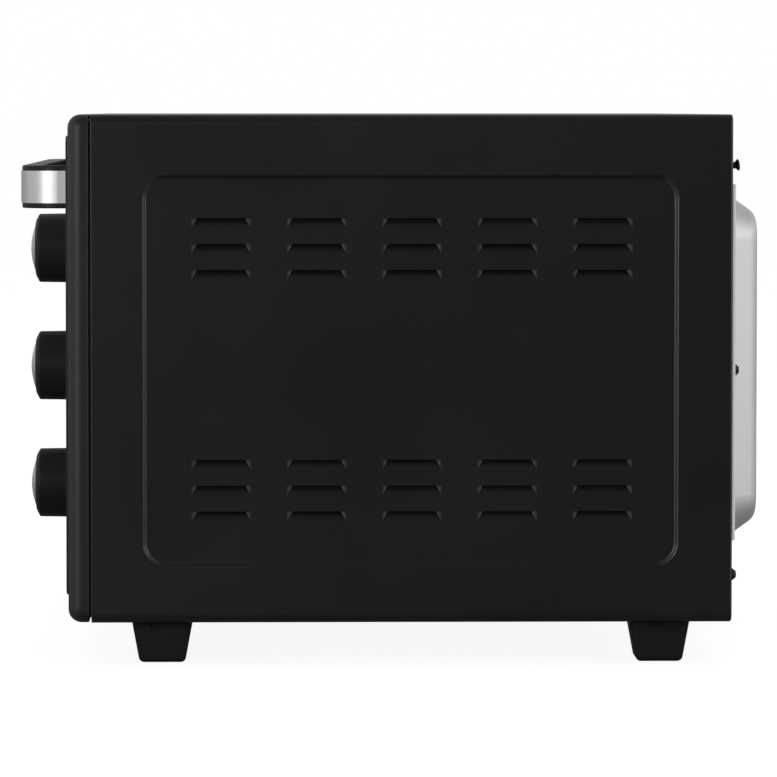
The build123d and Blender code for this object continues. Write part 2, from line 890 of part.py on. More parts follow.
# Upright shield between the hot cavity and the controls.
with BuildPart() as heat_shield:
    block(
        (shield_x, shield_x + sheet),
        (frame_back + fit_clearance, shell_back - 2 * sheet - fit_clearance),
        (base_top, roof - sheet - fit_clearance),
    )
    for y, z in heater_places:
        round_x(
            y,
            z,
            insulator_diameter + 2 * insulator_room,
            (shield_x, shield_x + sheet),
            mode=Mode.SUBTRACT,
        )
heat_shield.part.label = "heat_shield"
export_step(heat_shield.part, "parts/heat_shield.step")

# ---------------------------------------------------------------- heaters
heater_start = cavity_left - heater_overhang
heater_end = cavity_right + heater_overhang
for name, level in (("upper", heater_upper_level), ("lower", heater_lower_level)):
    with BuildPart() as heaters:
        for y in heater_ys:
            with BuildSketch(side_plane(heater_start)):
                with Locations((y, level)):
                    Circle(heater_diameter / 2)
            extrude(amount=heater_end - heater_start)
            with BuildSketch(side_plane(heater_start - heater_pin_length)):
                with Locations((y, level)):
                    Circle(heater_pin_diameter / 2)
            extrude(amount=heater_end - heater_start + 2 * heater_pin_length)
    heaters.part.label = f"{name}_heaters"
    export_step(heaters.part, f"parts/{name}_heaters.step")

with BuildPart() as heater_insulators:
    for face, outward in ((cavity_left - sheet, -1), (cavity_right + sheet, 1)):
        with BuildSketch(side_plane(face)):
            with Locations(*heater_places):
                Circle(insulator_diameter / 2 + insulator_flange)
                Circle(heater_diameter / 2, mode=Mode.SUBTRACT)
        extrude(amount=outward * insulator_flange)
        with BuildSketch(side_plane(face)):
            with Locations(*heater_places):
                Circle(insulator_diameter / 2)
                Circle(heater_diameter / 2, mode=Mode.SUBTRACT)
        extrude(amount=-outward * (sheet + insulator_nose))
heater_insulators.part.label = "heater_insulators"
export_step(heater_insulators.part, "parts/heater_insulators.step")

# ---------------------------------------------------------------- door
with BuildPart() as door_frame:
    with BuildSketch(front_plane(door_face)):
        with Locations((door_middle, (door_bottom + door_top) / 2)):
            RectangleRounded(door_width, door_height, door_corner)
    extrude(amount=-door_thickness)
    fillet(door_frame.faces().sort_by(Axis.Y)[0].edges(), door_edge_round)
    # Hollow from behind, around a raised rim that frames the window.
    with BuildSketch(front_plane(glass_front)):
        with Locations((door_middle, (door_bottom + door_top) / 2)):
            RectangleRounded(door_width - 2 * door_wall, door_height - 2 * door_wall, door_corner - door_wall)
    extrude(amount=-door_thickness, mode=Mode.SUBTRACT)
    with BuildSketch(front_plane(door_face)):
        with Locations((door_middle, window_middle)):
            RectangleRounded(window_width, window_height, window_corner)
    extrude(amount=-door_thickness, mode=Mode.SUBTRACT)
    # Bosses of the hinge pins at the lower corners.
    for face, inward in ((door_left, 1), (door_right, -1)):
        block(
            tuple(sorted((face + inward * door_wall, face + inward * hinge_boss))),
            (glass_front, door_back - sheet),
            (door_bottom + door_wall, hinge_z + hinge_boss / 2),
        )
        with BuildSketch(side_plane(face)):
            with Locations((hinge_y, hinge_z)):
                Circle(hinge_pin_diameter / 2)
        extrude(amount=inward * hinge_boss, mode=Mode.SUBTRACT)
    # Clearance holes of the handle screws.
    with BuildSketch(front_plane(door_face)):
        with Locations(*[(x, handle_level) for x in handle_post_xs]):
            Circle(handle_screw_diameter / 2)
    extrude(amount=-door_thickness, mode=Mode.SUBTRACT)
door_frame.part.label = "door_frame"
export_step(door_frame.part, "parts/door_frame.step")

with BuildPart() as door_glass:
    with BuildSketch(front_plane(glass_front)):
        with Locations((door_middle, window_middle)):
            RectangleRounded(window_width + 2 * glass_lap, window_height + 2 * glass_lap, window_corner)
    extrude(amount=-glass_thickness)
door_glass.part.label = "door_glass"
export_step(door_glass.part, "parts/door_glass.step")

# Inner sheet of the door: it closes the hollow and clamps the glass with a folded collar.
with BuildPart() as door_liner:
    with BuildSketch(front_plane(door_back - sheet)):
        with Locations((door_middle, (door_bottom + door_top) / 2)):
            RectangleRounded(
                door_width - 2 * (door_wall + fit_clearance),
                door_height - 2 * (door_wall + fit_clearance),
                door_corner - door_wall - fit_clearance,
            )
        with Locations((door_middle, window_middle)):
            RectangleRounded(window_width, window_height, window_corner, mode=Mode.SUBTRACT)
    extrude(amount=-sheet)
    with BuildSketch(front_plane(glass_back)):
        with Locations((door_middle, window_middle)):
            RectangleRounded(window_width + 2 * sheet, window_height + 2 * sheet, window_corner + sheet)
            RectangleRounded(window_width, window_height, window_corner, mode=Mode.SUBTRACT)
    extrude(amount=-(door_back - glass_back))
    with BuildSketch(front_plane(glass_back)):
        with Locations((door_middle, window_middle)):
            RectangleRounded(window_width + glass_lap, window_height + glass_lap, window_corner + sheet)
            RectangleRounded(window_width, window_height, window_corner, mode=Mode.SUBTRACT)
    extrude(amount=-sheet)
door_liner.part.label = "door_liner"
export_step(door_liner.part, "parts/door_liner.step")

for side, face, outward in (("left", door_left, -1), ("right", door_right, 1)):
    with BuildPart() as hinge_pin:
        with BuildSketch(side_plane(face - outward * hinge_boss)):
            with Locations((hinge_y, hinge_z)):
                Circle(hinge_pin_diameter / 2)
        extrude(amount=outward * (hinge_boss + hinge_pin_reach))
        chamfer(hinge_pin.faces().sort_by(Axis.X)[0 if outward < 0 else -1].edges(), hinge_pin_chamfer)
    hinge_pin.part.label = f"hinge_pin_{side}"
    export_step(hinge_pin.part, f"parts/hinge_pin_{side}.step")

# ---------------------------------------------------------------- handle
# A moulded U with returned ends; a bright band lies in a groove round its outside.


def handle_plan(inset, front, height, bend, mode=Mode.ADD):
    """Block with the handle's plan, inset at its ends, its two front corners bent."""
    with BuildSketch(Plane.XY.offset(handle_level - height / 2)) as plan:
        with Locations((door_middle, (front + door_face) / 2)):
            Rectangle(handle_length - 2 * inset, door_face - front)
        fillet(plan.vertices().group_by(Axis.Y)[0], bend)
    extrude(plan.sketch, amount=height, mode=mode)


with BuildPart() as handle_band:
    handle_plan(0, handle_front, band_height, handle_bend)
    handle_plan(
        band_thickness,
        handle_front + band_thickness,
        band_height,
        handle_bend - band_thickness,
        mode=Mode.SUBTRACT,
    )

with BuildPart() as handle_core:
    handle_plan(band_proud, handle_front + band_proud, handle_height, handle_bend - band_proud)
    handle_plan(
        handle_thickness,
        handle_front + handle_thickness,
        handle_height,
        handle_bend - handle_thickness,
        mode=Mode.SUBTRACT,
    )
    rims = handle_core.faces().sort_by(Axis.Z)
    rim_edges = rims[0].edges() + rims[-1].edges()
    fillet(
        rim_edges.filter_by(lambda edge: edge.center().Y < door_face - fit_clearance),
        handle_core_round,
    )
    add(handle_band.part, mode=Mode.SUBTRACT)
    for x in handle_post_xs:
        round_y(
            x,
            handle_level,
            handle_screw_diameter,
            (door_face - handle_screw_length, door_face),
            mode=Mode.SUBTRACT,
        )
handle_core.part.label = "handle_core"
export_step(handle_core.part, "parts/handle_core.step")

handle_band.part.label = "handle_band"
export_step(handle_band.part, "parts/handle_band.step")

with BuildPart() as handle_screws:
    for x in handle_post_xs:
        round_y(x, handle_level, screw_head_diameter, (glass_front, glass_front + screw_head_height))
        round_y(x, handle_level, handle_screw_diameter, (door_face - handle_screw_length, glass_front))
handle_screws.part.label = "handle_screws"
export_step(handle_screws.part, "parts/handle_screws.step")

# ---------------------------------------------------------------- knobs and their shafts
insert_radius = insert_diameter / 2
knob_radius = knob_diameter / 2
knob_rim = knob_radius - knob_draft - knob_edge
hub_radius = shaft_diameter / 2 + knob_wall
insert_seat = knob_reach + knob_shoulder - insert_thickness
hub_floor = insert_seat - knob_wall


def shaft_profile():
    """Round shaft with one flat that keys the knob."""
    Circle(shaft_diameter / 2)
    with Locations((0, shaft_diameter / 2)):
        Rectangle(shaft_diameter, 2 * shaft_flat, mode=Mode.SUBTRACT)


for name, z in zip(knob_names, knob_levels):
    turning_axis = Axis((panel_middle, door_face, z), (0, 1, 0))
    half_section = Plane(origin=(panel_middle, door_face, z), x_dir=(1, 0, 0), z_dir=(0, 0, 1))

    with BuildPart() as knob:
        with BuildSketch(half_section):
            with BuildLine():
                Line((0, -insert_seat), (insert_radius, -insert_seat))
                Line((insert_radius, -insert_seat), (insert_radius, -knob_reach - knob_shoulder))
                ThreePointArc(
                    (insert_radius, -knob_reach - knob_shoulder),
                    (
                        (insert_radius + knob_rim) / 2 + knob_bow,
                        -knob_reach - knob_shoulder / 2 - knob_bow,
                    ),
                    (knob_rim, -knob_reach),
                )
                CenterArc((knob_rim, -knob_reach + knob_edge), knob_edge, -90, 90)
                Polyline(
                    (knob_radius - knob_draft, -knob_reach + knob_edge),
                    (knob_radius, -knob_gap),
                    (knob_radius - knob_wall, -knob_gap),
                    (knob_radius - knob_wall, -hub_floor),
                    (hub_radius, -hub_floor),
                    (hub_radius, -knob_gap),
                    (0, -knob_gap),
                    (0, -insert_seat),
                )
            make_face()
        revolve(axis=turning_axis)
        with BuildSketch(front_plane(door_face)):
            with Locations((panel_middle, z)):
                shaft_profile()
        extrude(amount=hub_floor, mode=Mode.SUBTRACT)
    knob.part.label = f"knob_{name}"
    export_step(knob.part, f"parts/knob_{name}.step")

    with BuildPart() as knob_insert:
        with BuildSketch(half_section):
            with BuildLine():
                Polyline(
                    (0, -knob_reach - knob_dome),
                    (0, -insert_seat),
                    (insert_radius, -insert_seat),
                    (insert_radius, -knob_reach - knob_shoulder),
                )
                TangentArc((0, -knob_reach - knob_dome), (insert_radius, -knob_reach - knob_shoulder), tangent=(1, 0))
            make_face()
        revolve(axis=turning_axis)
    knob_insert.part.label = f"knob_insert_{name}"
    export_step(knob_insert.part, f"parts/knob_insert_{name}.step")

    with BuildPart() as shaft:
        with BuildSketch(front_plane(frame_back + shaft_tail)):
            with Locations((panel_middle, z)):
                shaft_profile()
        extrude(amount=frame_back + shaft_tail - door_face + hub_floor)
    shaft.part.label = f"shaft_{name}"
    export_step(shaft.part, f"parts/shaft_{name}.step")

# ---------------------------------------------------------------- controls behind the frame
body_start = frame_back + control_plate_thickness


def control_mount(z):
    """Nose through the frame and mounting plate behind it."""
    round_y(panel_middle, z, bush_nose_diameter, (frame_front - bush_nose_reach, body_start))
    block(
        (panel_middle - control_plate / 2, panel_middle + control_plate / 2),
        (frame_back, body_start),
        (z - control_plate / 2, z + control_plate / 2),
    )


def shaft_bore(z):
    """Running bore through the nose into the control."""
    round_y(
        panel_middle,
        z,
        shaft_diameter + 2 * running_clearance,
        (frame_front - bush_nose_reach, frame_back + shaft_tail + fit_clearance),
        mode=Mode.SUBTRACT,
    )


def terminals(places, y):
    """Flat push-on blades standing out behind a control."""
    for x, z in places:
        block(
            (x - blade_width / 2, x + blade_width / 2),
            (y, y + blade_length),
            (z - sheet / 2, z + sheet / 2),
        )


level = knob_levels[0]
with BuildPart() as thermostat:
    control_mount(level)
    with BuildSketch(front_plane(body_start)):
        with Locations((panel_middle, level)):
            RectangleRounded(thermostat_width, thermostat_height, control_corner)
    extrude(amount=-thermostat_depth)
    # Bimetal leaf and its stack, held off the ceramic body.
    with BuildSketch(side_plane(panel_middle - blade_width / 2)):
        with BuildLine():
            FilletPolyline(
                (body_start + thermostat_depth - sheet, level + leaf_rise),
                (body_start + thermostat_depth + leaf_stand, level + leaf_rise),
                (body_start + thermostat_depth + leaf_stand, level - leaf_fall),
                radius=leaf_bend,
            )
            offset(amount=sheet / 2, side=Side.BOTH)
        make_face()
    extrude(amount=blade_width)
    terminals(
        [
            (panel_middle + s * thermostat_blade_spread, level - thermostat_blade_drop)
            for s in (-1, 1)
        ],
        body_start + thermostat_depth,
    )
    shaft_bore(level)
thermostat.part.label = "thermostat"
export_step(thermostat.part, "parts/thermostat.step")

level = knob_levels[1]
with BuildPart() as function_switch:
    control_mount(level)
    with BuildSketch(front_plane(body_start)):
        with Locations((panel_middle, level)):
            Circle(switch_diameter / 2)
    extrude(amount=-switch_depth)
    fillet(function_switch.faces().sort_by(Axis.Y)[-1].edges(), switch_edge_round)
    terminals(
        [
            (panel_middle + across * switch_blade_spread, level + up * switch_blade_spread)
            for across in (-1, 1)
            for up in (-1, 1)
        ],
        body_start + switch_depth,
    )
    shaft_bore(level)
function_switch.part.label = "function_switch"
export_step(function_switch.part, "parts/function_switch.step")

level = knob_levels[2]
with BuildPart() as timer:
    control_mount(level)
    with BuildSketch(front_plane(body_start)):
        with Locations((panel_middle, level)):
            RectangleRounded(timer_width, timer_width, control_corner)
    extrude(amount=-timer_depth)
    timer_back = body_start + timer_depth
    round_y(panel_middle, level, bell_post_diameter, (timer_back, timer_back + bell_post_length))
    terminals(
        [(panel_middle + s * timer_blade_spread, level - timer_blade_drop) for s in (-1, 1)],
        timer_back,
    )
    shaft_bore(level)
timer.part.label = "timer"
export_step(timer.part, "parts/timer.step")

# Bell cup: a thin dish on the post, open towards the timer.
bell_base = timer_back + bell_clearance
bell_hole = bell_post_diameter / 2
bell_crown_radius = bell_hole + bell_crown
with BuildPart() as timer_bell:
    with BuildSketch(Plane(origin=(panel_middle, bell_base, level), x_dir=(1, 0, 0), z_dir=(0, 0, 1))):
        with BuildLine():
            Line((bell_hole, bell_height), (bell_crown_radius, bell_height))
            ThreePointArc(
                (bell_crown_radius, bell_height),
                (bell_shoulder_reach, bell_shoulder_rise),
                (bell_diameter / 2, 0),
            )
            Line((bell_diameter / 2, 0), (bell_diameter / 2 - sheet, 0))
            ThreePointArc(
                (bell_diameter / 2 - sheet, 0),
                (bell_shoulder_reach - sheet, bell_shoulder_rise - sheet),
                (bell_crown_radius, bell_height - sheet),
            )
            Polyline(
                (bell_crown_radius, bell_height - sheet),
                (bell_hole, bell_height - sheet),
                (bell_hole, bell_height),
            )
        make_face()
    revolve(axis=Axis((panel_middle, bell_base, level), (0, 1, 0)))
timer_bell.part.label = "timer_bell"
export_step(timer_bell.part, "parts/timer_bell.step")

# ---------------------------------------------------------------- pilot lamp
with BuildPart() as lamp_lens:
    with BuildSketch(front_plane(frame_front)):
        with Locations((panel_middle, lamp_level)):
            Circle(lamp_diameter / 2)
    extrude(amount=frame_front - door_face)
    fillet(lamp_lens.faces().sort_by(Axis.Y)[0].edges(), lamp_round)
lamp_lens.part.label = "lamp_lens"
export_step(lamp_lens.part, "parts/lamp_lens.step")

with BuildPart() as lamp_holder:
    with BuildSketch(front_plane(frame_back)):
        with Locations((panel_middle, lamp_level)):
            Circle(lamp_diameter / 2 + lamp_holder_wall)
    extrude(amount=-lamp_holder_length)
    with BuildSketch(front_plane(frame_front)):
        with Locations((panel_middle, lamp_level)):
            Circle(lamp_diameter / 2 + fit_clearance)
    extrude(amount=-sheet)
lamp_holder.part.label = "lamp_holder"
export_step(lamp_holder.part, "parts/lamp_holder.step")

# ---------------------------------------------------------------- wire rack
rack_z = rack_level + fit_clearance + rack_rod / 2
rack_left = cavity_left + rack_side_gap + rack_rod / 2
rack_right = cavity_right - rack_side_gap - rack_rod / 2
rack_front = frame_back + rack_end_gap
rack_back = cavity_back - rack_end_gap
rack_middle_y = (rack_front + rack_back) / 2

with BuildPart() as wire_rack:
    with BuildLine() as rack_loop:
        FilletPolyline(
            (rack_left, rack_front, rack_z),
            (rack_right, rack_front, rack_z),
            (rack_right, rack_back, rack_z),
            (rack_left, rack_back, rack_z),
            radius=rack_corner,
            close=True,
        )
    with BuildSketch(Plane(origin=rack_loop.line @ 0, z_dir=rack_loop.line % 0)):
        Circle(rack_rod / 2)
    sweep(path=rack_loop.line)
    # Two stiffeners under the wires.
    for y in (rack_middle_y - rack_stay_offset, rack_middle_y + rack_stay_offset):
        with BuildSketch(side_plane(rack_left)):
            with Locations((y, rack_z)):
                Circle(rack_rod / 2)
        extrude(amount=rack_right - rack_left)
    # Wires laid from front to back and welded into the rods.
    with BuildSketch(front_plane(rack_back)):
        wire_z = rack_z + (rack_rod + rack_wire) / 2 - rack_weld
        pitch = (rack_right - rack_left) / (rack_wire_count + 1)
        with Locations(((rack_left + rack_right) / 2, wire_z)):
            with GridLocations(pitch, 0, rack_wire_count, 1):
                Circle(rack_wire / 2)
    extrude(amount=rack_back - rack_front)
wire_rack.part.label = "wire_rack"
export_step(wire_rack.part, "parts/wire_rack.step")

# ---------------------------------------------------------------- rack hooks
# Wire hooks on the door that reach under the rack's front rod and draw it forward.
hook_low = rack_z - rack_rod / 2 - hook_drop - hook_wire / 2
hook_high = rack_z - rack_rod / 2 + hook_lap
hook_back = rack_front + rack_rod / 2 + hook_clearance + hook_wire / 2
with BuildPart() as rack_hooks:
    for x in (rack_left + hook_inset, rack_right - hook_inset):
        with BuildLine() as hook_path:
            FilletPolyline(
                (x, door_back, hook_low),
                (x, hook_back, hook_low),
                (x, hook_back, hook_high),
                radius=hook_bend,
            )
        with BuildSketch(front_plane(door_back)):
            with Locations((x, hook_low)):
                Circle(hook_wire / 2)
        sweep(path=hook_path.line)
rack_hooks.part.label = "rack_hooks"
export_step(rack_hooks.part, "parts/rack_hooks.step")

# ---------------------------------------------------------------- crumb tray
tray_left = cavity_left + tray_side_gap
tray_right = cavity_right - tray_side_gap
tray_back = cavity_back - tray_side_gap
lip_back = bezel_front + tray_lip_thickness
tray_lip_bottom = tray_bottom - tray_lip_drop
tray_lip_top = tray_lip_bottom + tray_lip_height
with BuildPart() as crumb_tray:
    block((tray_left, tray_right), (lip_back, tray_back), (tray_bottom, tray_bottom + tray_wall_height))
    block(
        (tray_left + sheet, tray_right - sheet),
        (lip_back, tray_back - sheet),
        (tray_bottom + sheet, tray_bottom + 2 * tray_wall_height),
        mode=Mode.SUBTRACT,
    )
    # Front lip with a rolled grip along its top edge.
    with BuildSketch(side_plane(door_left)):
        with BuildLine():
            Polyline(
                (lip_back, tray_lip_bottom),
                (bezel_front, tray_lip_bottom),
                (bezel_front, tray_lip_top),
                (lip_back + tray_grip, tray_lip_top),
                (lip_back + tray_grip, tray_lip_top - 2 * tray_grip),
                (lip_back, tray_lip_top - 2 * tray_grip),
                close=True,
            )
        make_face()
    extrude(amount=door_width)
    fillet(
        crumb_tray.edges().filter_by(Axis.X).sort_by(Axis.Y).group_by(Axis.Y)[0].sort_by(Axis.Z)[-1],
        tray_grip,
    )
crumb_tray.part.label = "crumb_tray"
export_step(crumb_tray.part, "parts/crumb_tray.step")
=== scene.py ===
"""Looks of a countertop toaster oven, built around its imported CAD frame."""

import json
from math import cos, pi, radians, sin, sqrt

import bmesh
import bpy
from bpy.props import FloatProperty, FloatVectorProperty, PointerProperty
from bpy.types import Operator, Panel, PropertyGroup
from mathutils import Matrix, Vector


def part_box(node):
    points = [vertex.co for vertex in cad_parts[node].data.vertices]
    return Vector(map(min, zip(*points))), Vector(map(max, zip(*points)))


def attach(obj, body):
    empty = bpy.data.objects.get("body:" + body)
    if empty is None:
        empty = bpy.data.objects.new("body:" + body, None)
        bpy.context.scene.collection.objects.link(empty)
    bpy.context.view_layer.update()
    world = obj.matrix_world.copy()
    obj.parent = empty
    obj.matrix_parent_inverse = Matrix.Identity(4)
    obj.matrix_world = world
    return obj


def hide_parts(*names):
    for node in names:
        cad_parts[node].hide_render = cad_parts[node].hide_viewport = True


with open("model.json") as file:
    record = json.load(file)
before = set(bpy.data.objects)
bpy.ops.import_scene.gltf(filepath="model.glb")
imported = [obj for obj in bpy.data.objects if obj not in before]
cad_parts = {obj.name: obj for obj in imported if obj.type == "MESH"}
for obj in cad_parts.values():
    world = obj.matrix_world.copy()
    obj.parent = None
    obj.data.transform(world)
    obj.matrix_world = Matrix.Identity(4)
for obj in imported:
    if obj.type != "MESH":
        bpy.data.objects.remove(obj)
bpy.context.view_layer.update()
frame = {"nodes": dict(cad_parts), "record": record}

bl_info = {
    "name": "Toaster Oven Looks",
    "version": (1, 0, 0),
    "blender": (4, 5, 0),
    "location": "3D View > Sidebar > Oven",
    "description": "Stage, finishes and small fittings of a countertop toaster oven",
    "category": "Object",
}

FLOAT = "NodeSocketFloat"

# Figures round each knob; the function knob has heater signs in their place.
DIALS = {
    "temperature": ("0", "100", "150", "200", "230"),
    "function": ("", "", "", ""),
    "timer": ("0", "10", "20", "30", "45", "60"),
}

# Noise values lie mostly between these two.
NOISE_SPAN = (0.3, 0.7)

# How far the back of a printed mark stands off the surface that carries it.
PRINT_GAP = 0.00002

# Name, place, point aimed at, width and height, and watts of each lamp.
LAMPS = (
    ("lamp_top", (-0.2, 0.0, 2.4), (0, 0, 0.15), (2.6, 2.4), 19.0),
    ("lamp_front", (2.35, -1.50, 0.62), (0.2, -0.1, 0.15), (1.4, 1.2), 27.0),
    ("lamp_rear", (1.85, 2.05, 0.65), (0.2, 0.1, 0.15), (1.0, 1.2), 18.5),
    ("lamp_face", (0.35, -2.6, 0.75), (0, -0.1, 0.15), (3.0, 1.5), 7.0),
    ("lamp_back", (0.2, 2.6, 0.75), (0, 0.1, 0.15), (3.0, 1.5), 7.0),
)

# Brightness that gloss mirrors, from the side away from the camera (0) to the camera's own (1).
MIRRORED_ROOM = ((0.0, 0.65), (0.22, 0.45), (0.6, 0.40), (1.0, 0.22))


def box_centre(node):
    """Middle of a CAD node's box."""
    low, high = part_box(node)
    return (low + high) / 2


# ---------------------------------------------------------------- settings


class OvenStageSettings(PropertyGroup):
    """Camera, room light and floor."""

    camera_distance: FloatProperty(
        name="Camera distance",
        description="From the oven's right side to the camera",
        default=2.5,
        unit="LENGTH",
    )
    camera_behind_front: FloatProperty(
        name="Camera place",
        description="How far the camera stands behind the front edge of the shell",
        default=0.08925,
        unit="LENGTH",
    )
    camera_height: FloatProperty(
        name="Camera height",
        description="Camera above the ground",
        default=0.294,
        unit="LENGTH",
    )
    camera_turn: FloatProperty(
        name="Camera turn",
        description="How far the camera looks round towards the rear",
        default=radians(1.079),
        subtype="ANGLE",
    )
    camera_fall: FloatProperty(
        name="Camera fall",
        description="How far the camera looks down",
        default=radians(2.433),
        subtype="ANGLE",
    )
    shift: FloatVectorProperty(
        name="Shift",
        description="Sideways and upward shift of the lens, in picture widths",
        size=2,
        default=(0.05, -0.10),
    )
    lens: FloatProperty(
        name="Lens",
        description="Focal length on a 36 mm sensor",
        default=220.1,
        unit="CAMERA",
    )
    world_light: FloatProperty(
        name="Room light",
        description="Strength of the even light from all round",
        default=0.55,
    )
    floor_glow: FloatProperty(
        name="Floor glow",
        description="Own light of the floor as the camera sees it",
        default=0.91,
    )


class OvenColours(PropertyGroup):
    """Colours of the finishes."""

    shell: FloatVectorProperty(
        name="Shell",
        description="Satin black paint of the wrap",
        default=(0.0082, 0.0082, 0.0086),
        subtype="COLOR",
    )
    bezel: FloatVectorProperty(
        name="Bezel",
        description="Black moulding of the front frame",
        default=(0.0134, 0.0134, 0.0142),
        subtype="COLOR",
    )
    knob: FloatVectorProperty(
        name="Knobs",
        description="Black moulding of the knobs",
        default=(0.0145, 0.0145, 0.0152),
        subtype="COLOR",
    )
    trim: FloatVectorProperty(
        name="Bright trim",
        description="Plated band of the handle and knob caps",
        default=(0.69, 0.695, 0.70),
        subtype="COLOR",
    )
    rear_sheet: FloatVectorProperty(
        name="Rear sheet",
        description="Bright steel of the rear panel",
        default=(0.84, 0.84, 0.835),
        subtype="COLOR",
    )
    print_white: FloatVectorProperty(
        name="Print",
        description="Ink of the dial marks",
        default=(0.72, 0.72, 0.70),
        subtype="COLOR",
    )


class OvenFittings(PropertyGroup):
    """Sizes of the small fittings."""

    screw_recess: FloatProperty(
        name="Screw recess",
        description="Length of one slot of the cross recess",
        default=0.0034,
        unit="LENGTH",
    )
    screw_lean: FloatProperty(
        name="Screw lean",
        description="How far the upper right screw leans from square",
        default=radians(7),
        subtype="ANGLE",
    )
    screw_home: FloatProperty(
        name="Screw home",
        description="How far a corner screw is driven on towards the sheet",
        default=0.0013,
        unit="LENGTH",
    )
    screw_dome: FloatProperty(
        name="Screw head height",
        description="Height of the round head of a rear screw",
        default=0.0027,
        unit="LENGTH",
    )
    mark_thickness: FloatProperty(
        name="Print thickness",
        description="How far printed marks stand off their surface",
        default=0.00012,
        unit="LENGTH",
    )
    figure_size: FloatProperty(
        name="Dial figures",
        description="Height of the figures round the knobs",
        default=0.0052,
        unit="LENGTH",
    )
    tick_radius: FloatProperty(
        name="Tick circle",
        description="Radius of the ring of ticks round a knob",
        default=0.0225,
        unit="LENGTH",
    )
    border_width: FloatProperty(
        name="Glass border",
        description="Width of the black border printed on the window",
        default=0.009,
        unit="LENGTH",
    )


def stage_settings():
    return bpy.context.scene.oven_stage


def colours():
    return bpy.context.scene.oven_colours


def fittings():
    return bpy.context.scene.oven_fittings


# ---------------------------------------------------------------- mesh helpers


def face_outward(shape):
    """Turn the faces of one closed shape outwards: its signed volume tells the side."""
    bmesh.ops.recalc_face_normals(shape, faces=shape.faces)
    if shape.calc_volume(signed=True) < 0:
        bmesh.ops.reverse_faces(shape, faces=shape.faces)


def thicken(shape, along):
    """Give a flat mark its thickness; its faces all turn outwards."""
    made = bmesh.ops.extrude_face_region(shape, geom=list(shape.faces))["geom"]
    front = [item for item in made if isinstance(item, bmesh.types.BMVert)]
    bmesh.ops.translate(shape, vec=along, verts=front)
    face_outward(shape)


def finish_piece(shape, name, material, body):
    """Turn a bmesh into a piece that rides on a body."""
    mesh = bpy.data.meshes.new(name)
    shape.to_mesh(mesh)
    shape.free()
    piece = bpy.data.objects.new(name, mesh)
    bpy.context.scene.collection.objects.link(piece)
    mesh.materials.append(material)
    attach(piece, body)
    return piece


def ring_edges(verts):
    """Edges of a ring of vertices, each once and in the ring's order."""
    return list(dict.fromkeys(edge for vert in verts for edge in vert.link_edges))


def join_into(shape, part, matrix):
    """Put a finished bmesh in its place and add it to another."""
    face_outward(part)
    bmesh.ops.transform(part, matrix=matrix, verts=part.verts)
    mesh = bpy.data.meshes.new("part")
    part.to_mesh(mesh)
    part.free()
    shape.from_mesh(mesh)
    bpy.data.meshes.remove(mesh)


def add_bar(shape, size, place, turn=Matrix()):
    """Thin bar with softened edges, turned and then put in its place."""
    bar = bmesh.new()
    bmesh.ops.create_cube(bar, size=1.0)
    bmesh.ops.scale(bar, vec=size, verts=bar.verts)
    bmesh.ops.bevel(
        bar,
        geom=list(bar.edges),
        offset=min(size) * 0.25,
        affect="EDGES",
        segments=1,
        profile=0.5,
        material=-1,
    )
    join_into(shape, bar, Matrix.Translation(place) @ turn)


def add_figures(shape, text, size, place, thickness):
    """Upright figures that face the user, centred on a place."""
    curve = bpy.data.curves.new("figures", "FONT")
    curve.body = text
    curve.size = size
    curve.align_x = "CENTER"
    curve.align_y = "CENTER"
    curve.extrude = thickness / 2
    curve.resolution_u = 3
    holder = bpy.data.objects.new("figures", curve)
    flat = bpy.data.meshes.new_from_object(holder)
    flat.transform(Matrix.Translation(place) @ Matrix.Rotation(pi / 2, 4, "X"))
    shape.from_mesh(flat)
    bpy.data.objects.remove(holder)
    bpy.data.curves.remove(curve)
    bpy.data.meshes.remove(flat)


# ---------------------------------------------------------------- node helpers


def new_group(name, inputs, outputs):
    """Empty shader node group with its sockets, and its two end nodes."""
    group = bpy.data.node_groups.new(name, "ShaderNodeTree")
    for socket, kind, default in inputs:
        made = group.interface.new_socket(socket, in_out="INPUT", socket_type=kind)
        made.default_value = default
    for socket in outputs:
        group.interface.new_socket(socket, in_out="OUTPUT", socket_type=FLOAT)
    start = group.nodes.new("NodeGroupInput")
    end = group.nodes.new("NodeGroupOutput")
    return group, start, end


def place_group(tree, name, maker, **values):
    """Group node of a shared effect, which is built the first time."""
    node = tree.nodes.new("ShaderNodeGroup")
    node.node_tree = bpy.data.node_groups.get(name) or maker()
    for socket, value in values.items():
        node.inputs[socket.replace("_", " ").title()].default_value = value
    return node


def add_node(tree, kind, values=None, **settings):
    """New node with its settings, and the values of its unlinked inputs."""
    node = tree.nodes.new(kind)
    for key, value in settings.items():
        setattr(node, key, value)
    for socket, value in (values or {}).items():
        node.inputs[socket].default_value = value
    return node


def plug(tree, socket, value):
    """Link an input to another socket, or set it to a plain value."""
    if isinstance(value, bpy.types.NodeSocket):
        tree.links.new(value, socket)
    else:
        socket.default_value = value


def calculate(tree, operation, *values):
    """Result of a Math node on sockets or plain numbers."""
    node = add_node(tree, "ShaderNodeMath", operation=operation)
    for socket, value in zip(node.inputs, values):
        plug(tree, socket, value)
    return node.outputs["Value"]


def blend(tree, factor, first, second, data_type="RGBA"):
    """Result of a Mix node on sockets or plain values."""
    node = add_node(tree, "ShaderNodeMix", data_type=data_type)
    plug(tree, node.inputs["Factor"], factor)
    plug(tree, node.inputs["A"], first)
    plug(tree, node.inputs["B"], second)
    return node.outputs["Result"]


def remap(tree, value, low, high, from_low=0.0, from_high=1.0):
    """Value stretched into a range, clamped."""
    node = add_node(
        tree,
        "ShaderNodeMapRange",
        {"From Min": from_low, "From Max": from_high, "To Min": low, "To Max": high},
    )
    tree.links.new(value, node.inputs["Value"])
    return node.outputs["Result"]


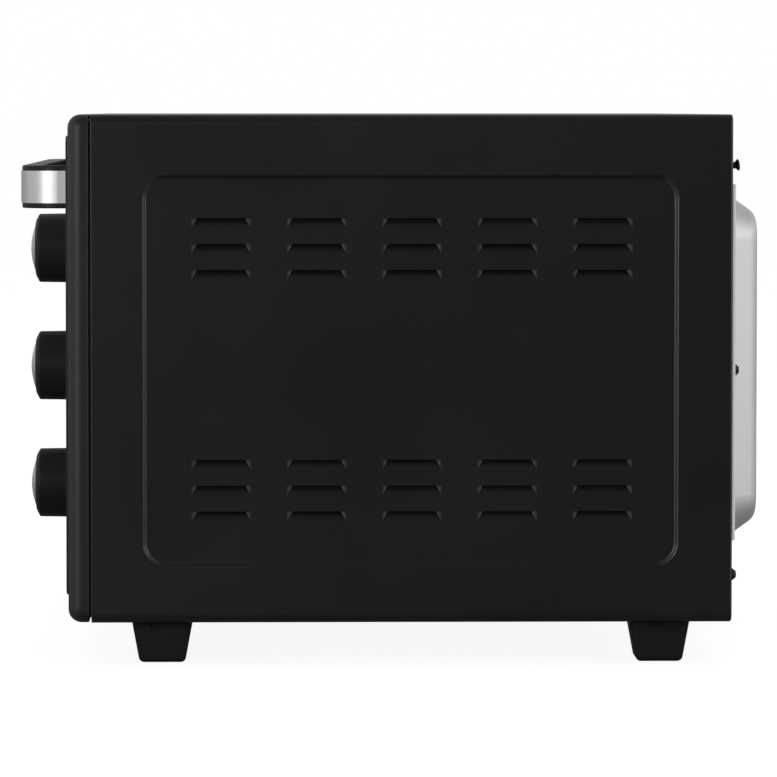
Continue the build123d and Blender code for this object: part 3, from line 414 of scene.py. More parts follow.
def axes(tree, coordinates="Object"):
    """X, Y and Z of one kind of texture coordinate."""
    source = add_node(tree, "ShaderNodeTexCoord")
    split = add_node(tree, "ShaderNodeSeparateXYZ")
    tree.links.new(source.outputs[coordinates], split.inputs["Vector"])
    return split.outputs


def rays(tree):
    """Masks of the rays that see a surface, also through glass, and of glossy ones."""
    path = add_node(tree, "ShaderNodeLightPath").outputs
    seen = calculate(tree, "MAXIMUM", path["Is Camera Ray"], path["Is Transmission Ray"])
    return seen, path["Is Glossy Ray"]


def object_coordinates(tree, scale=(1, 1, 1)):
    """Object coordinates, stretched along the axes."""
    source = add_node(tree, "ShaderNodeTexCoord")
    mapping = add_node(tree, "ShaderNodeMapping", {"Scale": scale})
    tree.links.new(source.outputs["Object"], mapping.inputs["Vector"])
    return mapping.outputs["Vector"]


def noise(tree, place, scale, **values):
    """Noise over a surface; the scale is a socket or a plain number."""
    inputs = {socket.title(): value for socket, value in values.items()}
    node = add_node(tree, "ShaderNodeTexNoise", inputs)
    tree.links.new(place, node.inputs["Vector"])
    plug(tree, node.inputs["Scale"], scale)
    return node.outputs["Fac"]


def end_group(group, end, **values):
    """Link a group's outputs and hand the group back."""
    for socket, value in values.items():
        group.links.new(value, end.inputs[socket.title()])
    return group


def grain_group():
    """Fine orange-peel grain of paint or moulded plastic, with faint broad unevenness."""
    group, start, end = new_group(
        "surface_grain",
        [("Grain Scale", FLOAT, 2500.0), ("Cloud Scale", FLOAT, 14.0)],
        ["Height", "Cloud", "Speckle"],
    )
    place = object_coordinates(group)
    grain_scale = start.outputs["Grain Scale"]
    height = noise(group, place, grain_scale, detail=3.0, roughness=0.55)
    cloud = noise(group, place, start.outputs["Cloud Scale"], detail=4.0, roughness=0.5)
    cells = add_node(group, "ShaderNodeTexVoronoi", {"Randomness": 1.0})
    group.links.new(place, cells.inputs["Vector"])
    group.links.new(grain_scale, cells.inputs["Scale"])
    return end_group(group, end, height=height, cloud=cloud, speckle=cells.outputs["Distance"])


def brush_group():
    """Brushed or rolled metal: fine lines drawn out along one axis."""
    group, start, end = new_group(
        "brushed_lines",
        [("Stretch", "NodeSocketVector", (1.0, 60.0, 60.0)), ("Scale", FLOAT, 40.0)],
        ["Lines", "Cloud"],
    )
    place = add_node(group, "ShaderNodeTexCoord").outputs["Object"]
    stretched = add_node(group, "ShaderNodeVectorMath", operation="MULTIPLY")
    group.links.new(place, stretched.inputs[0])
    group.links.new(start.outputs["Stretch"], stretched.inputs[1])
    drawn_out = stretched.outputs["Vector"]
    lines = noise(group, drawn_out, start.outputs["Scale"], detail=5.0, roughness=0.7)
    return end_group(group, end, lines=lines, cloud=noise(group, place, 9.0, detail=3.0))


def smudge_group():
    """Faint finger smears for handled surfaces."""
    group, start, end = new_group("smudges", [("Scale", FLOAT, 22.0)], ["Smudge"])
    place = object_coordinates(group, (1.0, 1.0, 1.7))
    smear_scale = start.outputs["Scale"]
    smear = noise(group, place, smear_scale, detail=6.0, roughness=0.62, distortion=1.4)
    return end_group(group, end, smudge=remap(group, smear, 0.0, 1.0, 0.5, 0.72))


def edge_group():
    """Pressed sheet: mask of slopes on its sides, where painted highlights go, distance from the
    middle, sideways facing.
    """
    group, _, end = new_group("pressed_edges", [], ["Mask", "Outward", "Sideways"])
    normal = axes(group, "Normal")
    steep = calculate(group, "ABSOLUTE", normal["Y"])
    sideways = calculate(group, "ABSOLUTE", normal["X"])
    outward = calculate(group, "ABSOLUTE", axes(group)["X"])
    sloped = remap(group, steep, 0.0, 1.0, 0.1, 0.4)
    on_a_side = remap(group, sideways, 0.0, 1.0, 0.3, 0.5)
    mask = calculate(group, "MULTIPLY", sloped, on_a_side)
    return end_group(group, end, mask=mask, outward=outward, sideways=sideways)


# ---------------------------------------------------------------- finishes


def new_material(name, **shader_values):
    """Material with a Principled shader; returns it, its tree and the shader."""
    material = bpy.data.materials.new(name)
    material.use_nodes = True
    tree = material.node_tree
    shader = tree.nodes["Principled BSDF"]
    for key, value in shader_values.items():
        socket = key.replace("_", " ").title().replace("Ior", "IOR")
        shader.inputs[socket].default_value = value
    return material, tree, shader


def tinted(colour, factor):
    """A colour made darker or lighter, with its alpha."""
    return (*(min(1.0, c * factor) for c in colour), 1)


def grey(value):
    """An even grey with its alpha."""
    return (value, value, value, 1)


def shade_between(tree, shader, factor, colour, dark, light):
    """Base colour that moves between two shades of one colour with a mask."""
    shades = blend(tree, factor, tinted(colour, dark), tinted(colour, light))
    tree.links.new(shades, shader.inputs["Base Color"])


def vary_roughness(tree, shader, factor, smooth, rough, span=NOISE_SPAN):
    """Roughness that moves between two values with a mask."""
    tree.links.new(remap(tree, factor, smooth, rough, *span), shader.inputs["Roughness"])


def bump(tree, height, strength, distance, below=None):
    """Normal of a height, laid over the normal of a broader one where that is given."""
    node = add_node(tree, "ShaderNodeBump", {"Strength": strength, "Distance": distance})
    tree.links.new(height, node.inputs["Height"])
    if below is not None:
        tree.links.new(below, node.inputs["Normal"])
    return node.outputs["Normal"]


def lighten(tree, shader, mask, colour):
    """Lay a lighter colour over a base colour where a mask is set."""
    base = shader.inputs["Base Color"].links[0].from_socket
    tree.links.new(blend(tree, mask, base, colour), shader.inputs["Base Color"])


def paint(name, colour, roughness, spread, grain, grain_height, specular):
    """Satin powder coat or moulded plastic with grain."""
    material, tree, shader = new_material(name, specular_ior_level=specular)
    surface = place_group(tree, "surface_grain", grain_group, grain_scale=grain).outputs
    shade_between(tree, shader, surface["Cloud"], colour, 0.85, 1.15)
    vary_roughness(tree, shader, surface["Cloud"], roughness - spread, roughness + spread)
    tree.links.new(bump(tree, surface["Height"], 0.35, grain_height), shader.inputs["Normal"])
    return material


def rolled_paint(name, colour, roughness, grain):
    """Paint on the bezel with painted highlights: a little lighter on its rolled edges and much
    lighter on its rear lip.
    """
    material = paint(name, colour, roughness, 0.04, grain, 0.00001, 0.25)
    tree = material.node_tree
    edges = place_group(tree, "pressed_edges", edge_group).outputs
    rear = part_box("front_bezel")[1].y
    lip = remap(tree, axes(tree)["Y"], 0.0, 1.0, rear - 0.0017, rear - 0.0009)
    # Painted highlight: the rolled edges about twice as light as the paint, the rear lip nine times
    # as light.
    bezel_highlight_colour = blend(tree, lip, tinted(colour, 2.1), tinted(colour, 9.0))
    mask = calculate(tree, "MAXIMUM", edges["Mask"], lip)
    lighten(tree, tree.nodes["Principled BSDF"], mask, bezel_highlight_colour)
    return material


def pressed_paint(name, colour, roughness, grain, specular):
    """Satin paint on pressed sheet: fine grain over slow waves, with painted highlights on the
    slopes of the pressings that face front or back, lightest where they are deepest.
    """
    material, tree, shader = new_material(name, specular_ior_level=specular)
    grained = place_group(tree, "surface_grain", grain_group, grain_scale=grain, cloud_scale=9.0)
    surface = grained.outputs
    shade_between(tree, shader, surface["Cloud"], colour, 0.90, 1.10)
    edges = place_group(tree, "pressed_edges", edge_group).outputs
    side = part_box("outer_shell")[1].x
    # Painted highlight on the slopes that face front or back: four times as light as the paint,
    # eleven times as light deep in the louvres.
    sunk = remap(tree, edges["Outward"], 1.0, 0.0, side - 0.0032, side - 0.0022)
    slope_highlight_colour = blend(tree, sunk, tinted(colour, 4.0), tinted(colour, 11.0))
    lighten(tree, shader, edges["Mask"], slope_highlight_colour)
    vary_roughness(tree, shader, surface["Cloud"], roughness - 0.03, roughness + 0.03)
    waves = bump(tree, surface["Cloud"], 0.5, 0.0006)
    fine = bump(tree, surface["Height"], 0.3, 0.00002, waves)
    tree.links.new(fine, shader.inputs["Normal"])
    return material


def print_ink(name, colour):
    """Screen-printed ink, slightly uneven."""
    material, tree, shader = new_material(name, specular_ior_level=0.3)
    surface = place_group(tree, "surface_grain", grain_group, grain_scale=1800.0).outputs
    shade_between(tree, shader, surface["Speckle"], colour, 0.92, 1.06)
    vary_roughness(tree, shader, surface["Cloud"], 0.42, 0.55)
    return material


def brushed_metal(name, colour, roughness, stretch, scale, line_height):
    """Sheet metal with rolled or brushed lines."""
    material, tree, shader = new_material(name, metallic=1.0)
    lined = place_group(tree, "brushed_lines", brush_group, stretch=stretch, scale=scale)
    surface = lined.outputs
    shade_between(tree, shader, surface["Lines"], colour, 0.86, 1.12)
    vary_roughness(tree, shader, surface["Cloud"], roughness - 0.05, roughness + 0.07)
    tree.links.new(bump(tree, surface["Lines"], 0.4, line_height), shader.inputs["Normal"])
    return material


def sheared_metal(name, colour, roughness, stretch, scale, line_height):
    """Brushed sheet whose cut edges, which face sideways, are dull and pale."""
    material = brushed_metal(name, colour, roughness, stretch, scale, line_height)
    tree = material.node_tree
    sideways = place_group(tree, "pressed_edges", edge_group).outputs["Sideways"]
    metallic = tree.nodes["Principled BSDF"].inputs["Metallic"]
    tree.links.new(remap(tree, sideways, 1.0, 0.25, 0.86, 0.97), metallic)
    return material


def clear_glass(name, tint):
    """Toughened glass with faint smears."""
    material, tree, shader = new_material(name, transmission_weight=1.0, ior=1.46)
    smudge = place_group(tree, "smudges", smudge_group).outputs["Smudge"]
    shade_between(tree, shader, smudge, tint, 1.0, 0.96)
    vary_roughness(tree, shader, smudge, 0.01, 0.05, (0.0, 1.0))
    return material


def ceramic(name, colour):
    """Unglazed porcelain, slightly chalky."""
    material, tree, shader = new_material(name)
    surface = place_group(tree, "surface_grain", grain_group, grain_scale=900.0).outputs
    shade_between(tree, shader, surface["Speckle"], colour, 0.85, 1.0)
    vary_roughness(tree, shader, surface["Cloud"], 0.6, 0.8, (0.0, 1.0))
    tree.links.new(bump(tree, surface["Height"], 0.4, 0.00008), shader.inputs["Normal"])
    return material


def painted_finishes(shell, bezel, knob):
    """Painted and moulded finishes, by the material slots of the record."""
    recipes = (
        # slot, name, colour, roughness and its spread, grain and its height, specular level
        ("panel", "panel_paint", bezel, 0.38, 0.04, 2600.0, 0.00002, 0.30),
        ("foot", "foot_moulding", shell, 0.55, 0.05, 1800.0, 0.00005, 0.22),
        ("handle_black", "handle_moulding", knob, 0.42, 0.04, 2200.0, 0.00002, 0.18),
        ("knob", "knob_moulding", knob, 0.42, 0.04, 2200.0, 0.00002, 0.10),
        ("phenolic", "phenolic", (0.045, 0.020, 0.010), 0.45, 0.05, 1500.0, 0.00004, 0.5),
        ("black_screw", "black_screw", knob, 0.40, 0.04, 3000.0, 0.00002, 0.2),
        ("lamp", "lamp_lens", (0.42, 0.018, 0.010), 0.18, 0.03, 1200.0, 0.00001, 0.5),
    )
    return {slot: paint(*recipe) for slot, *recipe in recipes}


def brushed_finishes(trim, steel):
    """Metal finishes, by the material slots of the record."""
    dull_steel = tinted(steel, 0.70)[:3]
    recipes = (
        # slot, name, colour, roughness, stretch across the lines, their scale and height
        ("trim", "satin_trim", trim, 0.44, (1, 80, 80), 30.0, 0.00001),
        ("zinc", "zinc_sheet", dull_steel, 0.38, (4, 30, 4), 25.0, 0.00002),
        ("liner", "liner_steel", dull_steel, 0.40, (40, 1, 40), 25.0, 0.00001),
        ("heater", "heater_tube", (0.20, 0.19, 0.18), 0.45, (1, 20, 20), 60.0, 0.00004),
        ("steel_screw", "screw_steel", (0.50, 0.50, 0.50), 0.35, (30, 30, 30), 40.0, 0.00001),
        ("bush", "bush_brass", (0.60, 0.43, 0.16), 0.35, (1, 40, 40), 40.0, 0.00001),
        ("rack_wire", "rack_chrome", (0.68, 0.69, 0.70), 0.16, (20, 20, 20), 40.0, 0.00001),
        ("tray", "tray_aluminium", (0.62, 0.62, 0.63), 0.36, (50, 1, 50), 25.0, 0.00001),
    )
    return {slot: brushed_metal(*recipe) for slot, *recipe in recipes}


def make_finishes():
    """All finishes, by the material slots of the record."""
    tone = colours()
    shell, bezel, knob = tuple(tone.shell), tuple(tone.bezel), tuple(tone.knob)
    steel = tuple(tone.rear_sheet)
    return {
        "shell": pressed_paint("satin_black_paint", shell, 0.30, 2600.0, 0.40),
        "bezel": rolled_paint("bezel_moulding", bezel, 0.42, 2200.0),
        "rear_sheet": sheared_metal("rear_steel", steel, 0.54, (1, 60, 60), 30.0, 0.00001),
        "glass": clear_glass("door_glass", (0.80, 0.82, 0.82)),
        "insulator": ceramic("insulator_porcelain", (0.78, 0.75, 0.68)),
        **painted_finishes(shell, bezel, knob),
        **brushed_finishes(tuple(tone.trim), steel),
    }


# ---------------------------------------------------------------- operators


class OVEN_OT_stage(Operator):
    """Camera, lamps, floor and world"""

    bl_idname = "oven.stage"
    bl_label = "Stage"

    floor_half = 6.0
    floor_drop = 0.0003

    def execute(self, context):
        scene = context.scene
        scene.view_settings.view_transform = "Standard"
        self.place_camera(scene, stage_settings())
        for lamp in LAMPS:
            self.place_lamp(scene, *lamp)
        self.lay_floor(scene, stage_settings().floor_glow)
        self.make_world(scene, stage_settings().world_light)
        return {"FINISHED"}

    def place_camera(self, scene, settings):
        """Camera off the right side, turned and tipped by the settings."""
        front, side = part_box("outer_shell")[0].y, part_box("outer_shell")[1].x
        turn, fall = settings.camera_turn, settings.camera_fall
        looking = Vector((-cos(turn) * cos(fall), sin(turn) * cos(fall), -sin(fall)))
        data = bpy.data.cameras.new("camera")
        data.sensor_width = 36.0
        data.lens = settings.lens
        data.shift_x, data.shift_y = settings.shift
        camera = bpy.data.objects.new("camera", data)
        camera.location = (
            side + settings.camera_distance,
            front + settings.camera_behind_front,
            settings.camera_height,
        )
        camera.rotation_euler = looking.to_track_quat("-Z", "Y").to_euler()
        scene.collection.objects.link(camera)
        scene.camera = camera

    def place_lamp(self, scene, name, place, target, size, energy):
        """Area lamp that is aimed at a point; the one overhead isn't mirrored."""
        lamp = bpy.data.lights.new(name, "AREA")
        lamp.shape = "RECTANGLE"
        lamp.size, lamp.size_y = size
        lamp.energy = energy
        holder = bpy.data.objects.new(name, lamp)
        holder.location = place
        aimed = Vector(target) - Vector(place)
        holder.rotation_euler = aimed.to_track_quat("-Z", "Y").to_euler()
        holder.visible_glossy = name != "lamp_top"
        scene.collection.objects.link(holder)

    def lay_floor(self, scene, glow):
        """Floor just under the feet."""
        mesh = bpy.data.meshes.new("floor")
        shape = bmesh.new()
        bmesh.ops.create_grid(shape, x_segments=1, y_segments=1, size=self.floor_half)
        bmesh.ops.translate(shape, vec=(0, 0, -self.floor_drop), verts=shape.verts)
        shape.to_mesh(mesh)
        shape.free()
        floor = bpy.data.objects.new("floor", mesh)
        scene.collection.objects.link(floor)
        mesh.materials.append(self.floor_material(glow))

    def floor_material(self, glow):
        """Pale floor that the camera sees nearly white and that keeps soft shadows.

        Gloss mirrors it dark, with a faint glow under the oven that fades out beyond its side.
        """
        material, tree, shader = new_material("pale_floor", specular_ior_level=0.0, roughness=1.0)
        seen, glossy = rays(tree)
        mirrored_glow = remap(tree, axes(tree)["X"], 0.10, 0.0, 0.30, 0.85)
        glowing = calculate(tree, "MULTIPLY_ADD", glossy, mirrored_glow, seen)
        base = blend(tree, glossy, grey(0.18), grey(0.06))
        tree.links.new(base, shader.inputs["Base Color"])
        emission = add_node(tree, "ShaderNodeEmission")
        tree.links.new(calculate(tree, "MULTIPLY", glowing, glow), emission.inputs["Strength"])
        both = add_node(tree, "ShaderNodeAddShader")
        tree.links.new(shader.outputs["BSDF"], both.inputs[0])
        tree.links.new(emission.outputs["Emission"], both.inputs[1])
        output = tree.nodes["Material Output"]
        tree.links.new(both.outputs["Shader"], output.inputs["Surface"])
        return material

    def make_world(self, scene, light):
        """White as seen, and a lower even light that falls off on the side the camera is on."""
        world = bpy.data.worlds.new("studio")
        world.use_nodes = True
        scene.world = world
        tree = world.node_tree
        background = tree.nodes["Background"]
        background.inputs["Color"].default_value = grey(1)
        seen, glossy = rays(tree)
        direction = axes(tree, "Generated")
        even = remap(tree, direction["X"], light, 0.2 * light, 0.35, 0.95)
        low_down = remap(tree, direction["Z"], 1.0, 0.45, 0.10, 0.5)
        far_side = remap(tree, direction["X"], 1.0, 0.0, -0.4, 0.1)
        kept = calculate(tree, "MAXIMUM", low_down, far_side)
        mirrored = calculate(tree, "MULTIPLY", self.mirrored_room(tree, direction["X"]), kept)
        unseen = blend(tree, glossy, even, mirrored, "FLOAT")
        strength = blend(tree, seen, unseen, 1.0, "FLOAT")
        tree.links.new(strength, background.inputs["Strength"])

    def mirrored_room(self, tree, direction):
        """Brightness of the mirrored room from one side to the other."""
        ramp = add_node(tree, "ShaderNodeValToRGB")
        stops = ramp.color_ramp.elements
        for index, (where, value) in enumerate(MIRRORED_ROOM):
            stop = stops[index] if index < 2 else stops.new(where)
            stop.position = where
            stop.color = grey(value)
        tree.links.new(remap(tree, direction, 0.0, 1.0, -1.0, 1.0), ramp.inputs["Fac"])
        return ramp.outputs["Color"]


class OVEN_OT_finishes(Operator):
    """Finish of every CAD node, from its material slot in the record"""

    bl_idname = "oven.finishes"
    bl_label = "Finishes"

    def execute(self, context):
        finishes = make_finishes()
        for part in frame["record"]["subparts"]:
            node = frame["nodes"][part["node"]]
            node.data.materials.clear()
            node.data.materials.append(finishes[part["material_slot"]])
        return {"FINISHED"}


class OVEN_OT_rear_screws(Operator):
    """Screws of the rear panel, with cross recesses"""

    bl_idname = "oven.rear_screws"
    bl_label = "Rear screws"

    sides = 24
    recess_depth = 0.0013
    recess_taper = 0.55

    # Radius of the neck as a share of the rim's, then the tip's radius as a share of the
    # neck's and its length as a share of the screw's.
    neck_share = 0.55
    tip_share = 0.55
    tip_length = 0.12

    # Depth of the coned head, and its rings: share of the rim's radius, depth below the top.
    cone_foot = 0.0024
    cone_rings = ((0.97, 0.0011), (1.0, 0.0009), (0.96, 0.0006), (0.74, 0.0002))

    # Round head: rises of its rings in degrees, share of its height that is dome, and
    # radius of its foot as a share of the rim's.
    dome_rises = (0, 12, 24, 36, 50)
    dome_share = 0.92
    dome_foot = 0.97

    # Heads that reach within this distance of the furthest one count as standing out.
    outermost = 0.00005

    # Screws whose lower edge is above this share of the highest top are the upper row.
    upper_row = 0.85

    def execute(self, context):
        source = frame["nodes"]["rear_screws"].data
        material = source.materials[0]
        loose = bmesh.new()
        loose.from_mesh(source)
        bmesh.ops.remove_doubles(loose, verts=loose.verts, dist=1e-6)
        shape = bmesh.new()
        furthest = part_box("rear_screws")[1]
        sizes = fittings()
        for island in self.islands(loose):
            low = Vector(min(v.co[k] for v in island) for k in range(3))
            high = Vector(max(v.co[k] for v in island) for k in range(3))
            stands = high.y > furthest.y - self.outermost
            if stands and low.x > 0 and low.z > self.upper_row * furthest.z:
                self.add_screw(shape, low, high, True, sizes.screw_lean, 0.0)
            else:
                home = sizes.screw_home if stands else 0.0
                self.add_screw(shape, low, high, False, 0.0, home)
        loose.free()
        piece = finish_piece(shape, "rear_screw_set", material, "cabinet")
        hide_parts("rear_screws")
        return {"FINISHED"}

    def islands(self, shape):
        """Groups of joined vertices, one for each screw."""
        left = set(shape.verts)
        while left:
            group, edge = set(), [left.pop()]
            while edge:
                vert = edge.pop()
                group.add(vert)
                near = {link.other_vert(vert) for link in vert.link_edges} & left
                left -= near
                edge.extend(near)
            yield group

    def profile(self, coned, rim, length):
        """Radius of each ring of a screw, and its distance from the tip."""
        neck = rim * self.neck_share
        if coned:
            head = [(neck, self.cone_foot)]
            head += [(rim * share, down) for share, down in self.cone_rings]
        else:
            height = fittings().screw_dome
            head = [(neck, height), (rim * self.dome_foot, height)]
            for rise in self.dome_rises:
                down = height * self.dome_share * (1 - sin(radians(rise)))
                head.append((rim * cos(radians(rise)), down))
        shank = [(neck * self.tip_share, 0.0), (neck, length * self.tip_length)]
        return shank + [(radius, length - down) for radius, down in head]

    def add_screw(self, shape, low, high, coned, lean, home):
        """One screw: shank, coned or round head, and a sunk cross."""
        length = high.y - low.y
        screw = bmesh.new()
        ring = self.turn(screw, self.profile(coned, (high.x - low.x) / 2, length))
        self.sink_cross(screw, ring, length)
        bmesh.ops.translate(screw, vec=(0, 0, -length), verts=screw.verts)
        middle = (low + high) / 2
        seat = Matrix.Translation((middle.x, high.y - home, middle.z))
        along_y = Matrix.Rotation(-pi / 2, 4, "X")
        join_into(shape, screw, seat @ Matrix.Rotation(lean, 4, "X") @ along_y)

    def turn(self, screw, rings):
        """Round body from its closed tip to the edge of its open top, which is handed back."""
        tip = bmesh.ops.create_circle(screw, segments=self.sides, radius=rings[0][0])["verts"]
        ring = ring_edges(tip)
        bmesh.ops.holes_fill(screw, edges=ring, sides=0)
        for (radius, along), (wider, further) in zip(rings, rings[1:]):
            verts, ring = self.extrude(screw, ring)
            bmesh.ops.scale(screw, vec=(wider / radius, wider / radius, 1.0), verts=verts)
            bmesh.ops.translate(screw, vec=(0, 0, further - along), verts=verts)
        return ring

    def sink_cross(self, screw, ring, top):
        """Close the top with a face that has a cross sunk into it."""
        cross = bmesh.ops.create_circle(screw, segments=12, radius=1.0)["verts"]
        arm, half = fittings().screw_recess / 2, fittings().screw_recess / 8
        corners = ((arm, -half), (arm, half), (half, half))
        for index, vert in enumerate(cross):
            turned = Matrix.Rotation(index // 3 * pi / 2, 2) @ Vector(corners[index % 3])
            vert.co = (turned.x, turned.y, top)
        outline = ring_edges(cross)
        bmesh.ops.bridge_loops(screw, edges=ring + outline)
        walls, bottom = self.extrude(screw, outline)
        taper = self.recess_taper
        bmesh.ops.translate(screw, vec=(0, 0, -self.recess_depth), verts=walls)
        bmesh.ops.scale(screw, vec=(taper, taper, 1.0), verts=walls)
        bmesh.ops.holes_fill(screw, edges=bottom, sides=0)

    def extrude(self, screw, ring):
        """New vertices and edges drawn out of a ring of edges."""
        made = bmesh.ops.extrude_edge_only(screw, edges=ring)["geom"]
        verts = [item for item in made if isinstance(item, bmesh.types.BMVert)]
        return verts, [item for item in made if isinstance(item, bmesh.types.BMEdge)]


def knob_sweep(knob):
    """How far a knob turns, from its joint in the record."""
    joints = frame["record"]["behaviour"]["joints"]
    low, high = next(j["range_deg"] for j in joints if j["name"] == f"{knob}_turn")
    return radians(high - low)


def knob_start(knob):
    """Direction of a knob's pointer at rest: its scale is even about the upright."""
    return pi / 2 + knob_sweep(knob) / 2


class OVEN_OT_dial_marks(Operator):
    """Ticks, figures and heater signs printed round the knobs"""

    bl_idname = "oven.dial_marks"
    bl_label = "Dial marks"

    # Length and width of the ticks at the figures, and of those between them.
    long_tick = (0.0036, 0.0007)
    short_tick = (0.0020, 0.0004)
    steps_between = 4

    # From the ring of ticks out to the middle of a figure or a sign.
    figure_gap = 0.0068

    # Side and line of a heater sign, and the length and height of its bars as shares of the side.
    sign_side = 0.0062
    sign_line = 0.00045
    bar_length = 0.6
    bar_height = 0.28

    def execute(self, context):
        material = print_ink("dial_print", tuple(colours().print_white))
        sizes = fittings()
        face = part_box("control_panel")[0].y - sizes.mark_thickness / 2
        shape = bmesh.new()
        for knob, scale in DIALS.items():
            centre = box_centre(f"knob_{knob}")
            centre.y = face
            start, sweep = knob_start(knob), knob_sweep(knob)
            for index, figures in enumerate(scale):
                angle = start - sweep * index / (len(scale) - 1)
                self.tick(shape, centre, angle, *self.long_tick)
                place = self.on_dial(centre, angle, sizes.tick_radius + self.figure_gap)
                if knob == "function":
                    self.heater_sign(shape, place, index)
                else:
                    add_figures(shape, figures, sizes.figure_size, place, sizes.mark_thickness)
            between = self.steps_between * (len(scale) - 1)
            for index in range(between + 1):
                if knob != "function" and index % self.steps_between:
                    angle = start - sweep * index / between
                    self.tick(shape, centre, angle, *self.short_tick)
        finish_piece(shape, "dial_marks", material, "cabinet")
        return {"FINISHED"}

    def on_dial(self, centre, angle, reach):
        """Point at an angle and a distance from the middle of a dial."""
        return centre + Vector((reach * cos(angle), 0, reach * sin(angle)))

    def tick(self, shape, centre, angle, length, width):
        """Radial tick on the ring round a knob."""
        place = self.on_dial(centre, angle, fittings().tick_radius)
        size = (length, fittings().mark_thickness, width)
        add_bar(shape, size, place, Matrix.Rotation(-angle, 4, "Y"))

    def heater_sign(self, shape, place, index):
        """Outline of an oven with a bar for each heater that is on."""
        side, line, thick = self.sign_side, self.sign_line, fittings().mark_thickness
        for offset in (-side / 2, side / 2):
            add_bar(shape, (line, thick, side), place + Vector((offset, 0, 0)))
            add_bar(shape, (side + line, thick, line), place + Vector((0, 0, offset)))
        bar = (side * self.bar_length, thick, 2 * line)
        up = Vector((0, 0, side * self.bar_height))
        if index in (1, 3):
            add_bar(shape, bar, place + up)
        if index in (2, 3):
            add_bar(shape, bar, place - up)


class OVEN_OT_pointers(Operator):
    """Line on each knob's cap that points at the scale"""

    bl_idname = "oven.pointers"
    bl_label = "Knob pointers"

    # Width of a line, then its length and the place of its middle as shares of the cap's radius.
    line_width = 0.0012
    line_length = 0.86
    line_middle = 0.5

    # Share of the cap's radius outside which its vertices count as its edge.
    edge_share = 0.99

    def execute(self, context):
        material = print_ink("pointer_line", (0.012, 0.012, 0.013))
        for knob in DIALS:
            low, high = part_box(f"knob_insert_{knob}")
            centre = (low + high) / 2
            radius = (high.x - low.x) / 2
            crown = self.dome_height(knob)
            sphere = (radius**2 + crown**2) / (2 * crown)
            aim = knob_start(knob)
            shape = bmesh.new()
            bmesh.ops.create_grid(shape, x_segments=3, y_segments=16, size=0.5)
            size = (self.line_width, radius * self.line_length, 1.0)
            bmesh.ops.scale(shape, vec=size, verts=shape.verts)
            outward = (0, radius * self.line_middle, 0)
            bmesh.ops.translate(shape, vec=outward, verts=shape.verts)
            for vert in shape.verts:
                fall = sphere - sqrt(sphere**2 - vert.co.x**2 - vert.co.y**2)
                vert.co = (
                    centre.x + vert.co.x * sin(aim) + vert.co.y * cos(aim),
                    low.y + fall + PRINT_GAP,
                    centre.z - vert.co.x * cos(aim) + vert.co.y * sin(aim),
                )
            thicken(shape, (0, -fittings().mark_thickness, 0))
            finish_piece(shape, f"pointer_{knob}", material, f"{knob}_knob")
        return {"FINISHED"}

    def dome_height(self, knob):
        """How far the cap's middle stands out past its edge, read from its mesh."""
        mesh = frame["nodes"][f"knob_insert_{knob}"].data
        low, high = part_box(f"knob_insert_{knob}")
        centre = (low + high) / 2
        rim = (high.x - low.x) / 2 * self.edge_share
        edge = min(
            vert.co.y
            for vert in mesh.vertices
            if (vert.co.x - centre.x) ** 2 + (vert.co.z - centre.z) ** 2 > rim**2
        )
        return edge - low.y


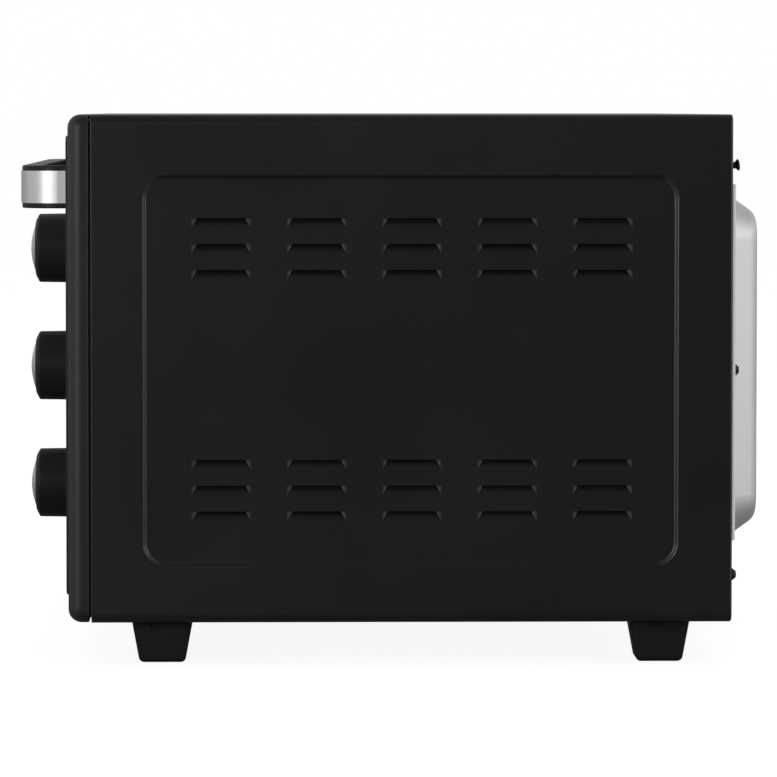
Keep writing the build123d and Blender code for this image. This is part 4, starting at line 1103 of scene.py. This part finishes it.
class OVEN_OT_glass_border(Operator):
    """Black border printed round the window"""

    bl_idname = "oven.glass_border"
    bl_label = "Glass border"

    # From the edge of the glass in to the border, and the rounding of the border's corners.
    inset = 0.0081
    outer_round = 0.009
    inner_round = 0.006
    points_in_a_corner = 7

    def execute(self, context):
        material = print_ink("glass_print", (0.006, 0.006, 0.0065))
        low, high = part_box("door_glass")
        middle = box_centre("door_glass")
        width = high.x - low.x - 2 * self.inset
        height = high.z - low.z - 2 * self.inset
        both_sides = 2 * fittings().border_width
        shape = bmesh.new()
        edges = self.rounded_loop(shape, width, height, self.outer_round)
        edges += self.rounded_loop(
            shape, width - both_sides, height - both_sides, self.inner_round
        )
        bmesh.ops.bridge_loops(shape, edges=edges)
        thicken(shape, (0, 0, fittings().mark_thickness))
        stand = Matrix.Translation((middle.x, low.y - PRINT_GAP, middle.z))
        upright = stand @ Matrix.Rotation(pi / 2, 4, "X")
        bmesh.ops.transform(shape, matrix=upright, verts=shape.verts)
        finish_piece(shape, "glass_border", material, "door")
        return {"FINISHED"}

    def rounded_loop(self, shape, width, height, radius):
        """Edges of a rectangle with round corners, about the origin."""
        points = self.points_in_a_corner
        made = bmesh.ops.create_circle(shape, segments=4 * points, radius=1.0)["verts"]
        for index, vert in enumerate(made):
            corner, point = divmod(index, points)
            turn = (corner + point / (points - 1)) * pi / 2
            across = width / 2 - radius if corner in (0, 3) else radius - width / 2
            upward = height / 2 - radius if corner < 2 else radius - height / 2
            vert.co = (across + radius * cos(turn), upward + radius * sin(turn), 0.0)
        return ring_edges(made)


OPERATORS = (
    OVEN_OT_stage,
    OVEN_OT_finishes,
    OVEN_OT_rear_screws,
    OVEN_OT_dial_marks,
    OVEN_OT_pointers,
    OVEN_OT_glass_border,
)


class OVEN_PT_panel(Panel):
    """Sidebar list of the oven's steps"""

    bl_idname = "OVEN_PT_panel"
    bl_label = "Toaster oven"
    bl_space_type = "VIEW_3D"
    bl_region_type = "UI"
    bl_category = "Oven"

    def draw(self, context):
        scene = context.scene
        for settings in (scene.oven_stage, scene.oven_colours, scene.oven_fittings):
            for name in settings.__annotations__:
                self.layout.prop(settings, name)
        for operator in OPERATORS:
            self.layout.operator(operator.bl_idname)


CLASSES = (OvenStageSettings, OvenColours, OvenFittings, *OPERATORS, OVEN_PT_panel)


def register():
    for item in CLASSES:
        bpy.utils.register_class(item)
    bpy.types.Scene.oven_stage = PointerProperty(type=OvenStageSettings)
    bpy.types.Scene.oven_colours = PointerProperty(type=OvenColours)
    bpy.types.Scene.oven_fittings = PointerProperty(type=OvenFittings)


def unregister():
    del bpy.types.Scene.oven_fittings
    del bpy.types.Scene.oven_colours
    del bpy.types.Scene.oven_stage
    for item in reversed(CLASSES):
        bpy.utils.unregister_class(item)


def main():
    register()
    bpy.ops.oven.stage()
    bpy.ops.oven.finishes()
    bpy.ops.oven.rear_screws()
    bpy.ops.oven.dial_marks()
    bpy.ops.oven.pointers()
    bpy.ops.oven.glass_border()


if __name__ == "__main__":
    main()
